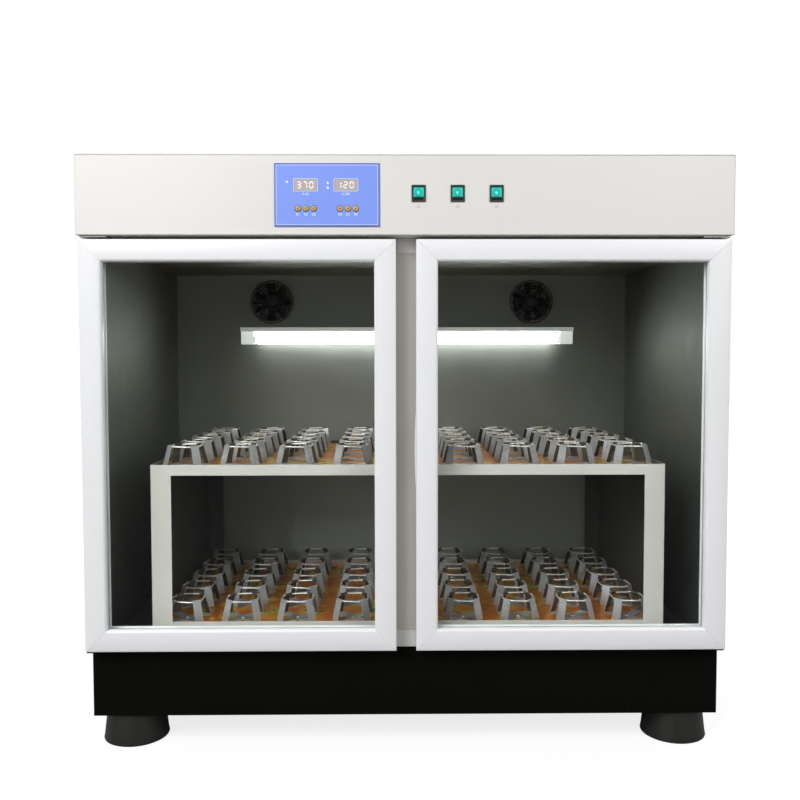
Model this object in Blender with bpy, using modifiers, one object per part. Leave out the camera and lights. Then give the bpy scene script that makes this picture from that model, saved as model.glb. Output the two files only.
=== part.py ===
"""Orbital shaking incubator with two glass doors and a two-tier flask platform: metres, +Z up, front to -Y."""
import math

import bmesh
import bpy
from mathutils import Matrix, Vector

# Cabinet
CABINET_WIDTH = 1.196
BODY_DEPTH = 0.720
OVERALL_HEIGHT = 1.115
SIDE_WALL = 0.021
REAR_SPACE = 0.075
SHEET = 0.0015
SEAT_GAP = 0.0003
TUCK = 0.0001
CORNER_RADIUS = 0.003
CORNER_STEPS = 3

# Header above the doors
HEADER_HEIGHT = 0.1447
HEADER_OVERHANG = 0.045
HEADER_SIDE_OVERHANG = 0.002
COVER_THICKNESS = 0.002
COVER_EDGE = 0.0007

# Base and feet
BASE_HEIGHT = 0.132
BASE_FLOOR = 0.003
BASE_LEDGE = 0.030
LOUVRE_COUNT = 8
LOUVRE_PITCH = 0.018
LOUVRE_WIDTH = 0.006
LOUVRE_HEIGHT = 0.060
LOUVRE_LIFT = 0.035
LOUVRE_REAR_INSET = 0.220
FOOT_HEIGHT = 0.063
FOOT_INSET = 0.064
FOOT_TOP_RADIUS = 0.0555
FOOT_BOTTOM_RADIUS = 0.0625
FOOT_SHOULDER = 0.004
FOOT_LIP = 0.003
FOOT_RIM = 0.013
FOOT_HOLLOW = 0.004
FOOT_STEPS = 16

# Mains inlet at the back of the base
INLET_INSET = 0.148
INLET_WIDTH = 0.047
INLET_HEIGHT = 0.025
INLET_LIFT = 0.0555
INLET_DEPTH = 0.025
INLET_RECESS = 0.016
INLET_SIDE_RIM = 0.011
INLET_RIM = 0.0045

# Front frame and mullion
FRAME_DEPTH = 0.010
FRAME_SIDE = 0.030
FRAME_TOP = 0.0285
FRAME_BOTTOM = 0.032
MULLION_HALF_WIDTH = 0.048
MULLION_DEPTH = 0.022
MULLION_FOLD = 0.004
MULLION_STEP = 0.001
MULLION_STEP_X = 0.006

# Chamber
CHAMBER_FLOOR_HEIGHT = 0.005
CHAMBER_FLOOR_SHEET = 0.003
CHAMBER_CEILING_DROP = 0.010
CASING_BACK = 0.012

# Doors
DOOR_SETBACK = 0.005
DOOR_SIDE_INSET = 0.001
DOOR_THICKNESS = 0.034
DOOR_GAP = 0.037
DOOR_TOP_GAP = 0.0073
DOOR_BOTTOM_GAP = 0.0054
DOOR_RAIL = 0.040
DOOR_BEVEL = 0.003
DOOR_EDGE = 0.0015
DOOR_BACK_EDGE = 0.002
GLASS_SETBACK = 0.014
GLASS_THICKNESS = 0.014
GLASS_GROOVE = 0.011
GASKET_INSET = 0.011
GASKET_WIDTH = 0.008
PULL_LIFT = 0.3076
PULL_LENGTH = 0.132
PULL_DEPTH = 0.012
PULL_TIP = 0.0008
PULL_BULGE = 0.0022
PULL_STEPS = 8

# Door pivots
PIVOT_INSET = 0.012
PIVOT_SETBACK = 0.017
PIVOT_RADIUS = 0.004
PIVOT_DEPTH = 0.014
HINGE_PLATE = 0.0032
HINGE_WIDTH = 0.050
HINGE_EDGE_INSET = 0.001
HINGE_LEG = 0.018

# Control panel on the header
PANEL_LEFT_X = -0.2385
PANEL_WIDTH = 0.1905
PANEL_LIFT = 0.0142
PANEL_DROP = 0.0170
PANEL_THICKNESS = 0.0018
PANEL_OVERLAP = 0.006
DISPLAY_WIDTH = 0.042
DISPLAY_HEIGHT = 0.0208
DISPLAY_LIFT = 0.0745
DISPLAY_OFFSETS = (0.0565, 0.1295)
BUTTON_RADIUS = 0.0048
BUTTON_CLEARANCE = 0.0004
BUTTON_LIFT = 0.032
BUTTON_OFFSETS = (0.0570, 0.1330)
BUTTON_PITCH = 0.0142
BUTTON_PROUD = 0.0028
BUTTON_LENGTH = 0.0105
BUTTON_EDGE = 0.0006
BOARD_SETBACK = 0.018
BOARD_THICKNESS = 0.0016
BOARD_POST_RADIUS = 0.003

# Rocker switches
SWITCH_XS = (0.0228, 0.0935, 0.1643)
SWITCH_LIFT = 0.074
SWITCH_WIDTH = 0.0257
SWITCH_HEIGHT = 0.0305
SWITCH_PROUD = 0.002
SWITCH_DEPTH = 0.022
SWITCH_RIM = 0.0032
SWITCH_EDGE = 0.0005
ROCKER_TILT = 7.0
ROCKER_CLEARANCE = 0.0006
ROCKER_PIVOT_SETBACK = 0.006
ROCKER_END_SLOPE = 0.0014
ROCKER_SIDE_SLOPE = 0.0008
ROCKER_TAIL = 0.008
ROCKER_TAIL_HALF = 0.003

# Fans behind the back wall, and vents low in the rear panel
FAN_SIDE_INSET = 0.2435
FAN_DROP = 0.0678
FAN_SIZE = 0.120
FAN_LENGTH = 0.038
FAN_WALL = 0.004
FAN_HOLE_RADIUS = 0.0504
FAN_GUARD_RADIUS = 0.0555
FAN_GUARD_RINGS = 4
FAN_GUARD_BAR = 0.0036
FAN_GUARD_HUB = 0.006
FAN_HUB_RADIUS = 0.021
FAN_MOTOR_LENGTH = 0.0095
FAN_MOTOR_SETBACK = 0.010
FAN_STRUT = 0.006
FAN_SHAFT_RADIUS = 0.003
FAN_SHAFT_LENGTH = 0.0085
FAN_BLADES = 7
FAN_BLADE_PITCH = 55.0
FAN_BLADE_CHORD = 0.022
FAN_BLADE_THICKNESS = 0.0016
FAN_TIP_GAP = 0.005
FAN_WHEEL_SETBACK = 0.004
FAN_WHEEL_LENGTH = 0.023
VENT_ROWS = 6
VENT_LIFT = 0.065
VENT_PITCH = 0.014
VENT_HEIGHT = 0.004
VENT_WIDTH = 0.120

# Lamp and heater
LAMP_CENTRE_X = 0.0125
LAMP_LENGTH = 0.833
LAMP_DROP = 0.1633
LAMP_TUBE_RADIUS = 0.013
LAMP_STANDOFF = 0.045
LAMP_HOLDER = 0.032
HOLDER_MARGIN = 0.001
BATTEN_THICKNESS = 0.010
BATTEN_DEPTH = 0.070
BATTEN_GAP = 0.0045
HEATER_RADIUS = 0.004
HEATER_HALF_WIDTH = 0.200
HEATER_PITCH = 0.030
HEATER_PASSES = 5
HEATER_LIFT = 0.440

# Platform
PLATFORM_SIDE_GAP = 0.0795
PLATFORM_FRONT_GAP = 0.035
PLATFORM_REAR_GAP = 0.055
PLATFORM_LIFT = 0.012
PLATFORM_SHEET = 0.002
PLATFORM_FLANGE = 0.039
UPPER_DECK_LIFT = 0.341
LOWER_LIP_LIFT = 0.035
DECK_LIP = 0.021
DECK_RECESS = 0.008

# Flask clamps
CLAMP_PLATE = 0.002
CLAMP_PITCH_X = 0.1102
CLAMP_PITCH_Y = 0.1020
CLAMP_MARGIN = 0.004
CLAMP_HEIGHT = 0.0440
CLAMP_RING_RADIUS = 0.0335
CLAMP_RING_BAR = 0.0030
CLAMP_FOOT_RADIUS = 0.0460
CLAMP_ARM_WIDTH = 0.018
CLAMP_ARM_THICKNESS = 0.0015

# Orbital drive
ORBIT_RADIUS = 0.010
ORBIT_REST_ANGLE = -57.0
CRANK_HEAD_RADIUS = 0.032
CRANK_HEAD_GAP = 0.003
CRANK_PIN_RADIUS = 0.010
CRANK_SHAFT_RADIUS = 0.010
BUSH_RADIUS = 0.018
BUSH_LIFT = 0.0003
RUNNING_GAP = 0.0004
IDLER_PLAY = 0.0010
IDLER_SIDE_INSET = 0.1175
IDLER_END_INSET = 0.090
DECK_PLATE = 0.006
BOSS_RADIUS = 0.028
BOSS_LENGTH = 0.038
COLLAR_LENGTH = 0.006
COLLAR_WIDTH = 0.005
MAIN_PULLEY_RADIUS = 0.100
MOTOR_PULLEY_RADIUS = 0.030
PULLEY_WIDTH = 0.018
PULLEY_DROP = 0.011
PULLEY_STEPS = 20
BELT_THICKNESS = 0.003
BELT_GAP = 0.0006
BELT_SIDE_INSET = 0.002
MOTOR_X = 0.230
MOTOR_RADIUS = 0.065
MOTOR_PULLEY_GAP = 0.0097
MOTOR_SHAFT_RADIUS = 0.007
MOTOR_SHAFT_LENGTH = 0.036
MOTOR_FOOT_REACH = 0.010
MOTOR_FOOT_HALF_WIDTH = 0.040
MOTOR_FOOT_THICKNESS = 0.006
COUNTERWEIGHT_RADIUS = 0.092
COUNTERWEIGHT_THICKNESS = 0.010
COUNTERWEIGHT_SWEEP = 120.0
COUNTERWEIGHT_STEPS = 8

# Planes and places worked out from the sizes above
HALF_WIDTH = CABINET_WIDTH / 2
HEADER_HALF_WIDTH = HALF_WIDTH + HEADER_SIDE_OVERHANG
CHAMBER_HALF_WIDTH = HALF_WIDTH - SIDE_WALL
FRONT_Y = -(BODY_DEPTH - BUTTON_PROUD - PANEL_THICKNESS) / 2
REAR_Y = FRONT_Y + BODY_DEPTH
CABINET_FRONT_Y = FRONT_Y + HEADER_OVERHANG
LINER_FRONT_Y = CABINET_FRONT_Y + FRAME_DEPTH
BACK_WALL_Y = REAR_Y - REAR_SPACE
BASE_TOP = FOOT_HEIGHT + BASE_HEIGHT
HEADER_BOTTOM = OVERALL_HEIGHT - HEADER_HEIGHT
CHAMBER_FLOOR = BASE_TOP + CHAMBER_FLOOR_HEIGHT
CHAMBER_CEILING = HEADER_BOTTOM - CHAMBER_CEILING_DROP
DOOR_OUTER_X = HALF_WIDTH - DOOR_SIDE_INSET
DOOR_FRONT_Y = FRONT_Y + DOOR_SETBACK
DOOR_BACK_Y = DOOR_FRONT_Y + DOOR_THICKNESS
DOOR_BOTTOM = BASE_TOP + DOOR_BOTTOM_GAP
DOOR_TOP = HEADER_BOTTOM - DOOR_TOP_GAP
PIVOT_X = DOOR_OUTER_X - PIVOT_INSET
PIVOT_Y = DOOR_FRONT_Y + PIVOT_SETBACK
PANEL_BOTTOM = HEADER_BOTTOM + PANEL_LIFT
PANEL_HEIGHT = HEADER_HEIGHT - PANEL_LIFT - PANEL_DROP
PANEL_BACK_Y = FRONT_Y - SEAT_GAP
DISPLAY_Z = PANEL_BOTTOM + DISPLAY_LIFT
BUTTON_Z = PANEL_BOTTOM + BUTTON_LIFT
SWITCH_Z = HEADER_BOTTOM + SWITCH_LIFT
INLET_X = HALF_WIDTH - INLET_INSET
INLET_Z = FOOT_HEIGHT + INLET_LIFT
FAN_X = CHAMBER_HALF_WIDTH - FAN_SIDE_INSET
FAN_Z = CHAMBER_CEILING - FAN_DROP
LAMP_Z = CHAMBER_CEILING - LAMP_DROP
HEATER_Z = CHAMBER_FLOOR + HEATER_LIFT
PLATFORM_HALF_WIDTH = CHAMBER_HALF_WIDTH - PLATFORM_SIDE_GAP
PLATFORM_FRONT_Y = CABINET_FRONT_Y + PLATFORM_FRONT_GAP
PLATFORM_REAR_Y = BACK_WALL_Y - PLATFORM_REAR_GAP
PLATFORM_CENTRE_Y = (PLATFORM_FRONT_Y + PLATFORM_REAR_Y) / 2
PLATFORM_BOTTOM = CHAMBER_FLOOR + PLATFORM_LIFT
UPPER_DECK_Z = CHAMBER_FLOOR + UPPER_DECK_LIFT
LOWER_LIP_Z = CHAMBER_FLOOR + LOWER_LIP_LIFT
LOWER_PAN_TOP = LOWER_LIP_Z - DECK_RECESS - CLAMP_PLATE - SEAT_GAP
UPPER_PAN_TOP = UPPER_DECK_Z - DECK_RECESS - CLAMP_PLATE - SEAT_GAP
BUSH_BORE_TOP = LOWER_PAN_TOP - PLATFORM_SHEET - SEAT_GAP
CRANK_HEAD_BOTTOM = CHAMBER_FLOOR + CRANK_HEAD_GAP
CRANK_HEAD_TOP = PLATFORM_BOTTOM - BUSH_LIFT
ORBIT_X = ORBIT_RADIUS * math.cos(math.radians(ORBIT_REST_ANGLE))
ORBIT_Y = ORBIT_RADIUS * math.sin(math.radians(ORBIT_REST_ANGLE))
CRANK_Y = PLATFORM_CENTRE_Y - ORBIT_Y
IDLER_X = PLATFORM_HALF_WIDTH - IDLER_SIDE_INSET
IDLER_Y = (PLATFORM_REAR_Y - PLATFORM_FRONT_Y) / 2 - IDLER_END_INSET
DECK_BOTTOM = BASE_TOP - DECK_PLATE
BOSS_BOTTOM = BASE_TOP - BOSS_LENGTH
PULLEY_Z = BOSS_BOTTOM - PULLEY_DROP - PULLEY_WIDTH
MOTOR_BOTTOM = FOOT_HEIGHT + BASE_FLOOR + SEAT_GAP
MOTOR_HEIGHT = PULLEY_Z - MOTOR_PULLEY_GAP - MOTOR_BOTTOM
SIDES = (("left", -1), ("right", 1))
AXIS_TURNS = {
    "X": Matrix.Rotation(math.pi / 2, 4, "Y"),
    "Y": Matrix.Rotation(-math.pi / 2, 4, "X"),
    "Z": Matrix.Identity(4),
}


def new_collection(name):
    """Link a new collection to the scene."""
    group = bpy.data.collections.new(name)
    bpy.context.scene.collection.children.link(group)
    return group


for old in list(bpy.data.objects):
    bpy.data.objects.remove(old, do_unlink=True)
PARTS = new_collection("shaking_incubator")
CUTTERS = new_collection("cutters")


def finish(name, colour, roughness, metallic=0.0, transmission=0.0):
    """A Principled material with one colour."""
    made = bpy.data.materials.new(name)
    made.use_nodes = True
    shader = made.node_tree.nodes["Principled BSDF"]
    shader.inputs["Base Color"].default_value = (*colour, 1.0)
    shader.inputs["Roughness"].default_value = roughness
    shader.inputs["Metallic"].default_value = metallic
    shader.inputs["Transmission Weight"].default_value = transmission
    return made


CREAM_PAINT = finish("cream_paint", (0.79, 0.78, 0.75), 0.45)
WHITE_FRAME = finish("white_frame", (0.84, 0.84, 0.86), 0.4)
BLACK_PAINT = finish("black_paint", (0.012, 0.012, 0.011), 0.5)
STAINLESS = finish("brushed_stainless", (0.46, 0.47, 0.44), 0.36, 1.0)
PLATFORM_PAINT = finish("platform_paint", (0.66, 0.66, 0.62), 0.5)
BLACK_RUBBER = finish("black_rubber", (0.02, 0.02, 0.02), 0.8)
BLACK_PLASTIC = finish("black_plastic", (0.02, 0.02, 0.02), 0.45)
BLUE_PANEL_FILM = finish("blue_panel_film", (0.17, 0.30, 0.86), 0.35)
BOARD_GREEN = finish("board_green", (0.02, 0.18, 0.08), 0.5)
BUTTON_GOLD = finish("button_gold", (0.75, 0.50, 0.12), 0.35)
ROCKER_TEAL = finish("rocker_teal", (0.03, 0.32, 0.27), 0.3)
CLEAR_GLASS = finish("clear_glass", (0.9, 0.95, 0.93), 0.02, transmission=1.0)
LAMP_WHITE = finish("lamp_white", (0.95, 0.97, 0.97), 0.3)
SPRING_STEEL = finish("spring_steel", (0.62, 0.62, 0.60), 0.3, 1.0)
ZINC_PLATE = finish("zinc_plate", (0.62, 0.40, 0.16), 0.35, 0.9)
MACHINED_STEEL = finish("machined_steel", (0.50, 0.50, 0.50), 0.35, 1.0)
CAST_ALUMINIUM = finish("cast_aluminium", (0.60, 0.60, 0.60), 0.55, 1.0)


def mesh_object(name, bm, colour=None, origin=(0.0, 0.0, 0.0), smooth=False):
    """Turn a bmesh in world metres into an object with a given origin. Without a colour it is a cutter."""
    bmesh.ops.recalc_face_normals(bm, faces=bm.faces)
    bmesh.ops.translate(bm, verts=bm.verts, vec=-Vector(origin))
    mesh = bpy.data.meshes.new(name)
    bm.to_mesh(mesh)
    bm.free()
    if smooth:
        mesh.shade_smooth()
        mesh.set_sharp_from_angle(angle=math.radians(35))
    made = bpy.data.objects.new(name, mesh)
    made.location = origin
    if colour:
        mesh.materials.append(colour)
        PARTS.objects.link(made)
    else:
        made.hide_render = True
        made.display_type = "WIRE"
        CUTTERS.objects.link(made)
    return made


def add_box(bm, low, high):
    """A box between two corners."""
    size = [b - a for a, b in zip(low, high)]
    middle = [(a + b) / 2 for a, b in zip(low, high)]
    place = Matrix.Translation(middle) @ Matrix.Diagonal((*size, 1.0))
    return bmesh.ops.create_cube(bm, size=1.0, matrix=place)["verts"]


def add_cylinder(bm, start, length, radius, axis="Z", segments=16):
    """A capped cylinder that runs from its start along +axis."""
    place = Matrix.Translation(start) @ AXIS_TURNS[axis] @ Matrix.Translation((0.0, 0.0, length / 2))
    return bmesh.ops.create_cone(
        bm, cap_ends=True, segments=segments, radius1=radius, radius2=radius, depth=length, matrix=place
    )["verts"]


def add_prism(bm, outline, push):
    """A flat outline of points, pushed along a vector."""
    face = bm.faces.new([bm.verts.new(point) for point in outline])
    pushed = bmesh.ops.extrude_face_region(bm, geom=[face])["geom"]
    moved = [v for v in pushed if isinstance(v, bmesh.types.BMVert)]
    bmesh.ops.translate(bm, verts=moved, vec=push)


def add_ring(bm, centre, section, axis="Z", steps=16):
    """A closed section of (radius, height) points carried once round an axis through a centre."""
    place = Matrix.Translation(centre) @ AXIS_TURNS[axis]
    rows = []
    for i in range(steps):
        swing = 2 * math.pi * i / steps
        points = [Vector((r * math.cos(swing), r * math.sin(swing), height)) for r, height in section]
        rows.append([bm.verts.new(place @ point) for point in points])
    join_rows(bm, rows)


def add_cross(bm, centre, reach, half, length, turn=0.0):
    """A cross that faces along Y, with four arms of a reach and a half width, turned by an angle in degrees."""
    outline = []
    for quarter in range(4):
        spin = Matrix.Rotation(math.radians(turn - 90.0 * quarter), 3, "Y")
        for x, z in ((reach, -half), (reach, half), (half, half)):
            outline.append(Vector(centre) + spin @ Vector((x, 0.0, z)))
    add_prism(bm, outline, (0.0, length, 0.0))


def join_rows(bm, rows):
    """Faces between rows of points, each row closed, and the last joined to the first."""
    count = len(rows[0])
    for row, after in zip(rows, rows[1:] + rows[:1]):
        for i in range(count):
            j = (i + 1) % count
            bm.faces.new((row[i], row[j], after[j], after[i]))


def box(name, low, high, colour=None, origin=(0.0, 0.0, 0.0)):
    """A box as an object."""
    bm = bmesh.new()
    add_box(bm, low, high)
    return mesh_object(name, bm, colour, origin)


def rounded_box(name, low, high, colour):
    """A box whose four upright edges are rounded."""
    bm = bmesh.new()
    add_box(bm, low, high)
    middle = (low[2] + high[2]) / 2
    upright = [e for e in bm.edges if (e.verts[0].co.z - middle) * (e.verts[1].co.z - middle) < 0.0]
    bmesh.ops.bevel(bm, geom=upright, offset=CORNER_RADIUS, segments=CORNER_STEPS, profile=0.5, affect="EDGES")
    return mesh_object(name, bm, colour, smooth=True)


def boolean(target, tool, operation):
    """Cut or join a target with a tool."""
    step = target.modifiers.new(tool.name, "BOOLEAN")
    step.operation = operation
    step.solver = "EXACT"
    step.object = tool
    return target


def cut(target, tool):
    """Take a tool's volume out of a target."""
    return boolean(target, tool, "DIFFERENCE")


def fuse(target, tool):
    """Add a tool's volume to a target."""
    return boolean(target, tool, "UNION")


def round_edges(target, width):
    """Chamfer the sharp edges of a target."""
    step = target.modifiers.new("rounded_edges", "BEVEL")
    step.width = width
    step.segments = 1
    step.limit_method = "ANGLE"
    step.angle_limit = math.radians(40.0)
    return target


def mirrored(side, a, b):
    """An x range on one side of the middle, lowest first."""
    return tuple(sorted((side * a, side * b)))


def loft(name, rings, colour=None, origin=(0.0, 0.0, 0.0)):
    """A closed solid through rings that have the same number of points and join end to end in a loop."""
    bm = bmesh.new()
    join_rows(bm, [[bm.verts.new(point) for point in ring] for ring in rings])
    return mesh_object(name, bm, colour, origin)


def mitred_frame(name, low, high, profile, colour, origin):
    """A profile of (inset, setback) points carried round a door, with mitred corners."""
    (x0, z0), (x1, z1) = low, high
    rings = []
    for inset, setback in profile:
        y = DOOR_FRONT_Y + setback
        left, right, bottom, top = x0 + inset, x1 - inset, z0 + inset, z1 - inset
        rings.append([(left, y, bottom), (right, y, bottom), (right, y, top), (left, y, top)])
    return loft(name, rings, colour, origin)


def build_header():
    """The folded box above the doors, open at the top, and its flat cover."""
    half = HEADER_HALF_WIDTH
    top = OVERALL_HEIGHT - COVER_THICKNESS - SEAT_GAP
    shell = rounded_box("header_shell", (-half, FRONT_Y, HEADER_BOTTOM), (half, REAR_Y, top), CREAM_PAINT)
    low = (-half + SHEET, FRONT_Y + SHEET, HEADER_BOTTOM + SHEET)
    high = (half - SHEET, REAR_Y - SHEET, top + SHEET)
    cut(shell, box("header_hollow", low, high))
    openings = bmesh.new()
    outside, inside = FRONT_Y - SHEET, FRONT_Y + 3 * SHEET
    low = (PANEL_LEFT_X + PANEL_OVERLAP, outside, PANEL_BOTTOM + PANEL_OVERLAP)
    high = (PANEL_LEFT_X + PANEL_WIDTH - PANEL_OVERLAP, inside, PANEL_BOTTOM + PANEL_HEIGHT - PANEL_OVERLAP)
    add_box(openings, low, high)
    half_w = (SWITCH_WIDTH - SWITCH_RIM) / 2
    half_h = (SWITCH_HEIGHT - SWITCH_RIM) / 2
    for x in SWITCH_XS:
        add_box(openings, (x - half_w, outside, SWITCH_Z - half_h), (x + half_w, inside, SWITCH_Z + half_h))
    cut(shell, mesh_object("header_openings", openings))
    low = (-half, FRONT_Y, OVERALL_HEIGHT - COVER_THICKNESS)
    round_edges(rounded_box("top_cover", low, (half, REAR_Y, OVERALL_HEIGHT), CREAM_PAINT), COVER_EDGE)


def build_casing():
    """Insulated walls round the chamber, open at the front and below, with holes for the fans and heater."""
    low = (-HALF_WIDTH, LINER_FRONT_Y + SEAT_GAP, BASE_TOP + SEAT_GAP)
    high = (HALF_WIDTH, REAR_Y - SHEET - SEAT_GAP, HEADER_BOTTOM - SEAT_GAP)
    casing = box("cabinet_casing", low, high, CREAM_PAINT)
    reach = CHAMBER_HALF_WIDTH + SHEET + SEAT_GAP
    back = BACK_WALL_Y + SHEET + SEAT_GAP
    ceiling = CHAMBER_CEILING + SHEET + SEAT_GAP
    cut(casing, box("chamber_hollow", (-reach, CABINET_FRONT_Y, FOOT_HEIGHT), (reach, back, ceiling)))
    low = (-reach, back + CASING_BACK, BASE_TOP + CASING_BACK)
    cut(casing, box("rear_duct", low, (reach, REAR_Y + SHEET, CHAMBER_CEILING)))
    holes = bmesh.new()
    half = FAN_SIZE / 2 + SEAT_GAP
    through = back + 2 * CASING_BACK
    for _, side in SIDES:
        x = side * FAN_X
        add_box(holes, (x - half, BACK_WALL_Y, FAN_Z - half), (x + half, through, FAN_Z + half))
    half = HEATER_HALF_WIDTH + HEATER_PITCH
    top = HEATER_Z + HEATER_PASSES * HEATER_PITCH
    add_box(holes, (-half, BACK_WALL_Y, HEATER_Z - HEATER_PITCH), (half, through, top))
    cut(casing, mesh_object("casing_holes", holes))


def build_rear_panel():
    """The service sheet on the back, with two rows of vent slots low down that let air into the duct."""
    low = (-HALF_WIDTH, REAR_Y - SHEET, BASE_TOP + SEAT_GAP)
    high = (HALF_WIDTH, REAR_Y, HEADER_BOTTOM - SEAT_GAP)
    panel = box("rear_panel", low, high, CREAM_PAINT)
    vents = bmesh.new()
    for _, side in SIDES:
        for row in range(VENT_ROWS):
            x = side * FAN_X
            z = BASE_TOP + VENT_LIFT + row * VENT_PITCH
            low = (x - VENT_WIDTH / 2, REAR_Y - 2 * SHEET, z - VENT_HEIGHT / 2)
            add_box(vents, low, (x + VENT_WIDTH / 2, REAR_Y + SHEET, z + VENT_HEIGHT / 2))
    cut(panel, mesh_object("rear_vents", vents))


def build_liner():
    """The sheet box that lines the chamber, with its front open."""
    reach = CHAMBER_HALF_WIDTH + SHEET
    low = (-reach, LINER_FRONT_Y + SEAT_GAP, CHAMBER_FLOOR - CHAMBER_FLOOR_SHEET)
    high = (reach, BACK_WALL_Y + SHEET, CHAMBER_CEILING + SHEET)
    liner = box("chamber_liner", low, high, STAINLESS)
    low = (-CHAMBER_HALF_WIDTH, LINER_FRONT_Y - SHEET, CHAMBER_FLOOR)
    cut(liner, box("liner_hollow", low, (CHAMBER_HALF_WIDTH, BACK_WALL_Y, CHAMBER_CEILING)))
    holes = bmesh.new()
    for _, side in SIDES:
        add_cylinder(holes, (side * FAN_X, BACK_WALL_Y - SHEET, FAN_Z), 4 * SHEET, FAN_HOLE_RADIUS, "Y")
    depth = 3 * CHAMBER_FLOOR_SHEET
    for x, y in crank_places():
        start = (x, y, CHAMBER_FLOOR + SHEET - depth)
        add_cylinder(holes, start, depth, CRANK_SHAFT_RADIUS + CRANK_HEAD_GAP, segments=12)
    cut(liner, mesh_object("liner_holes", holes))


def build_front_frame():
    """The frame round the door openings and the folded mullion between them."""
    bottom, top = BASE_TOP + SEAT_GAP, HEADER_BOTTOM - SEAT_GAP
    low = (-HALF_WIDTH, CABINET_FRONT_Y, bottom)
    frame = box("front_frame", low, (HALF_WIDTH, LINER_FRONT_Y, top), CREAM_PAINT)
    low = (-HALF_WIDTH + FRAME_SIDE, CABINET_FRONT_Y - SHEET, bottom + FRAME_BOTTOM)
    high = (HALF_WIDTH - FRAME_SIDE, LINER_FRONT_Y + SHEET, top - FRAME_TOP)
    cut(frame, box("door_opening", low, high))
    half = MULLION_HALF_WIDTH
    section = (
        (-half, 0.0),
        (MULLION_STEP_X, 0.0),
        (MULLION_STEP_X + MULLION_FOLD, MULLION_STEP),
        (half, MULLION_STEP),
        (half, MULLION_DEPTH),
        (-half, MULLION_DEPTH),
    )
    foot = bottom + FRAME_BOTTOM + SEAT_GAP
    bm = bmesh.new()
    outline = [(x, CABINET_FRONT_Y + setback, foot) for x, setback in section]
    add_prism(bm, outline, (0.0, 0.0, top - FRAME_TOP - SEAT_GAP - foot))
    mesh_object("centre_mullion", bm, CREAM_PAINT)


def build_base():
    """The black box under the chamber, with a seat for the deck, louvres on both sides and four feet."""
    low = (-HALF_WIDTH, CABINET_FRONT_Y, FOOT_HEIGHT + SEAT_GAP)
    base = rounded_box("base_housing", low, (HALF_WIDTH, REAR_Y, BASE_TOP), BLACK_PAINT)
    ledge_z = DECK_BOTTOM - SEAT_GAP
    x0, y0, x1, y1 = -HALF_WIDTH + SHEET, CABINET_FRONT_Y + SHEET, HALF_WIDTH - SHEET, REAR_Y - SHEET
    cut(base, box("base_deck_seat", (x0, y0, ledge_z), (x1, y1, BASE_TOP + SHEET)))
    cut(base, box("base_room", (x0, y0, FOOT_HEIGHT + BASE_FLOOR), (x1, y1, ledge_z - SHEET)))
    low = (x0 + BASE_LEDGE, y0 + BASE_LEDGE, ledge_z - 2 * SHEET)
    cut(base, box("base_mouth", low, (x1 - BASE_LEDGE, y1 - BASE_LEDGE, ledge_z + SHEET)))
    slots = bmesh.new()
    bottom = FOOT_HEIGHT + LOUVRE_LIFT
    for _, side in SIDES:
        outer, inner = mirrored(side, HALF_WIDTH + SHEET, HALF_WIDTH - 2 * SHEET)
        for i in range(LOUVRE_COUNT):
            y = REAR_Y - LOUVRE_REAR_INSET + i * LOUVRE_PITCH
            add_box(slots, (outer, y, bottom), (inner, y + LOUVRE_WIDTH, bottom + LOUVRE_HEIGHT))
    half = INLET_WIDTH / 2
    low = (INLET_X - half, REAR_Y - 2 * SHEET, INLET_Z)
    add_box(slots, low, (INLET_X + half, REAR_Y + SHEET, INLET_Z + INLET_HEIGHT))
    cut(base, mesh_object("base_slots", slots))
    for row, y in (("front", CABINET_FRONT_Y + FOOT_INSET), ("rear", REAR_Y - FOOT_INSET)):
        for word, side in SIDES:
            build_foot(f"foot_{row}_{word}", side * (HALF_WIDTH - FOOT_INSET), y)


def build_inlet():
    """The mains socket in the back of the base."""
    half = INLET_WIDTH / 2 - SEAT_GAP
    bottom, top = INLET_Z + SEAT_GAP, INLET_Z + INLET_HEIGHT - SEAT_GAP
    low, high = (INLET_X - half, REAR_Y - INLET_DEPTH, bottom), (INLET_X + half, REAR_Y, top)
    body = box("power_inlet", low, high, BLACK_PLASTIC)
    half -= INLET_SIDE_RIM
    low = (INLET_X - half, REAR_Y - INLET_RECESS, bottom + INLET_RIM)
    cut(body, box("inlet_recess", low, (INLET_X + half, REAR_Y + SHEET, top - INLET_RIM)))


def build_foot(name, x, y):
    """A rubber foot: a turned cone that flares to its rim, hollow underneath."""
    top, rim = FOOT_TOP_RADIUS, FOOT_BOTTOM_RADIUS
    profile = (
        (0.0, FOOT_HEIGHT),
        (top - FOOT_SHOULDER, FOOT_HEIGHT),
        (top, FOOT_HEIGHT - FOOT_SHOULDER),
        (rim, FOOT_LIP),
        (rim - FOOT_LIP, 0.0),
        (rim - FOOT_RIM, 0.0),
        (rim - FOOT_RIM - FOOT_HOLLOW / 2, FOOT_HOLLOW),
        (0.0, FOOT_HOLLOW),
    )
    mesh = bpy.data.meshes.new(name)
    mesh.from_pydata([(r, 0.0, z) for r, z in profile], [(i, i + 1) for i in range(len(profile) - 1)], [])
    mesh.materials.append(BLACK_RUBBER)
    foot = bpy.data.objects.new(name, mesh)
    foot.location = (x, y, 0.0)
    PARTS.objects.link(foot)
    turn = foot.modifiers.new("turned", "SCREW")
    turn.axis = "Z"
    turn.steps = FOOT_STEPS
    turn.render_steps = FOOT_STEPS
    turn.use_merge_vertices = True
    turn.merge_threshold = 0.00005


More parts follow.
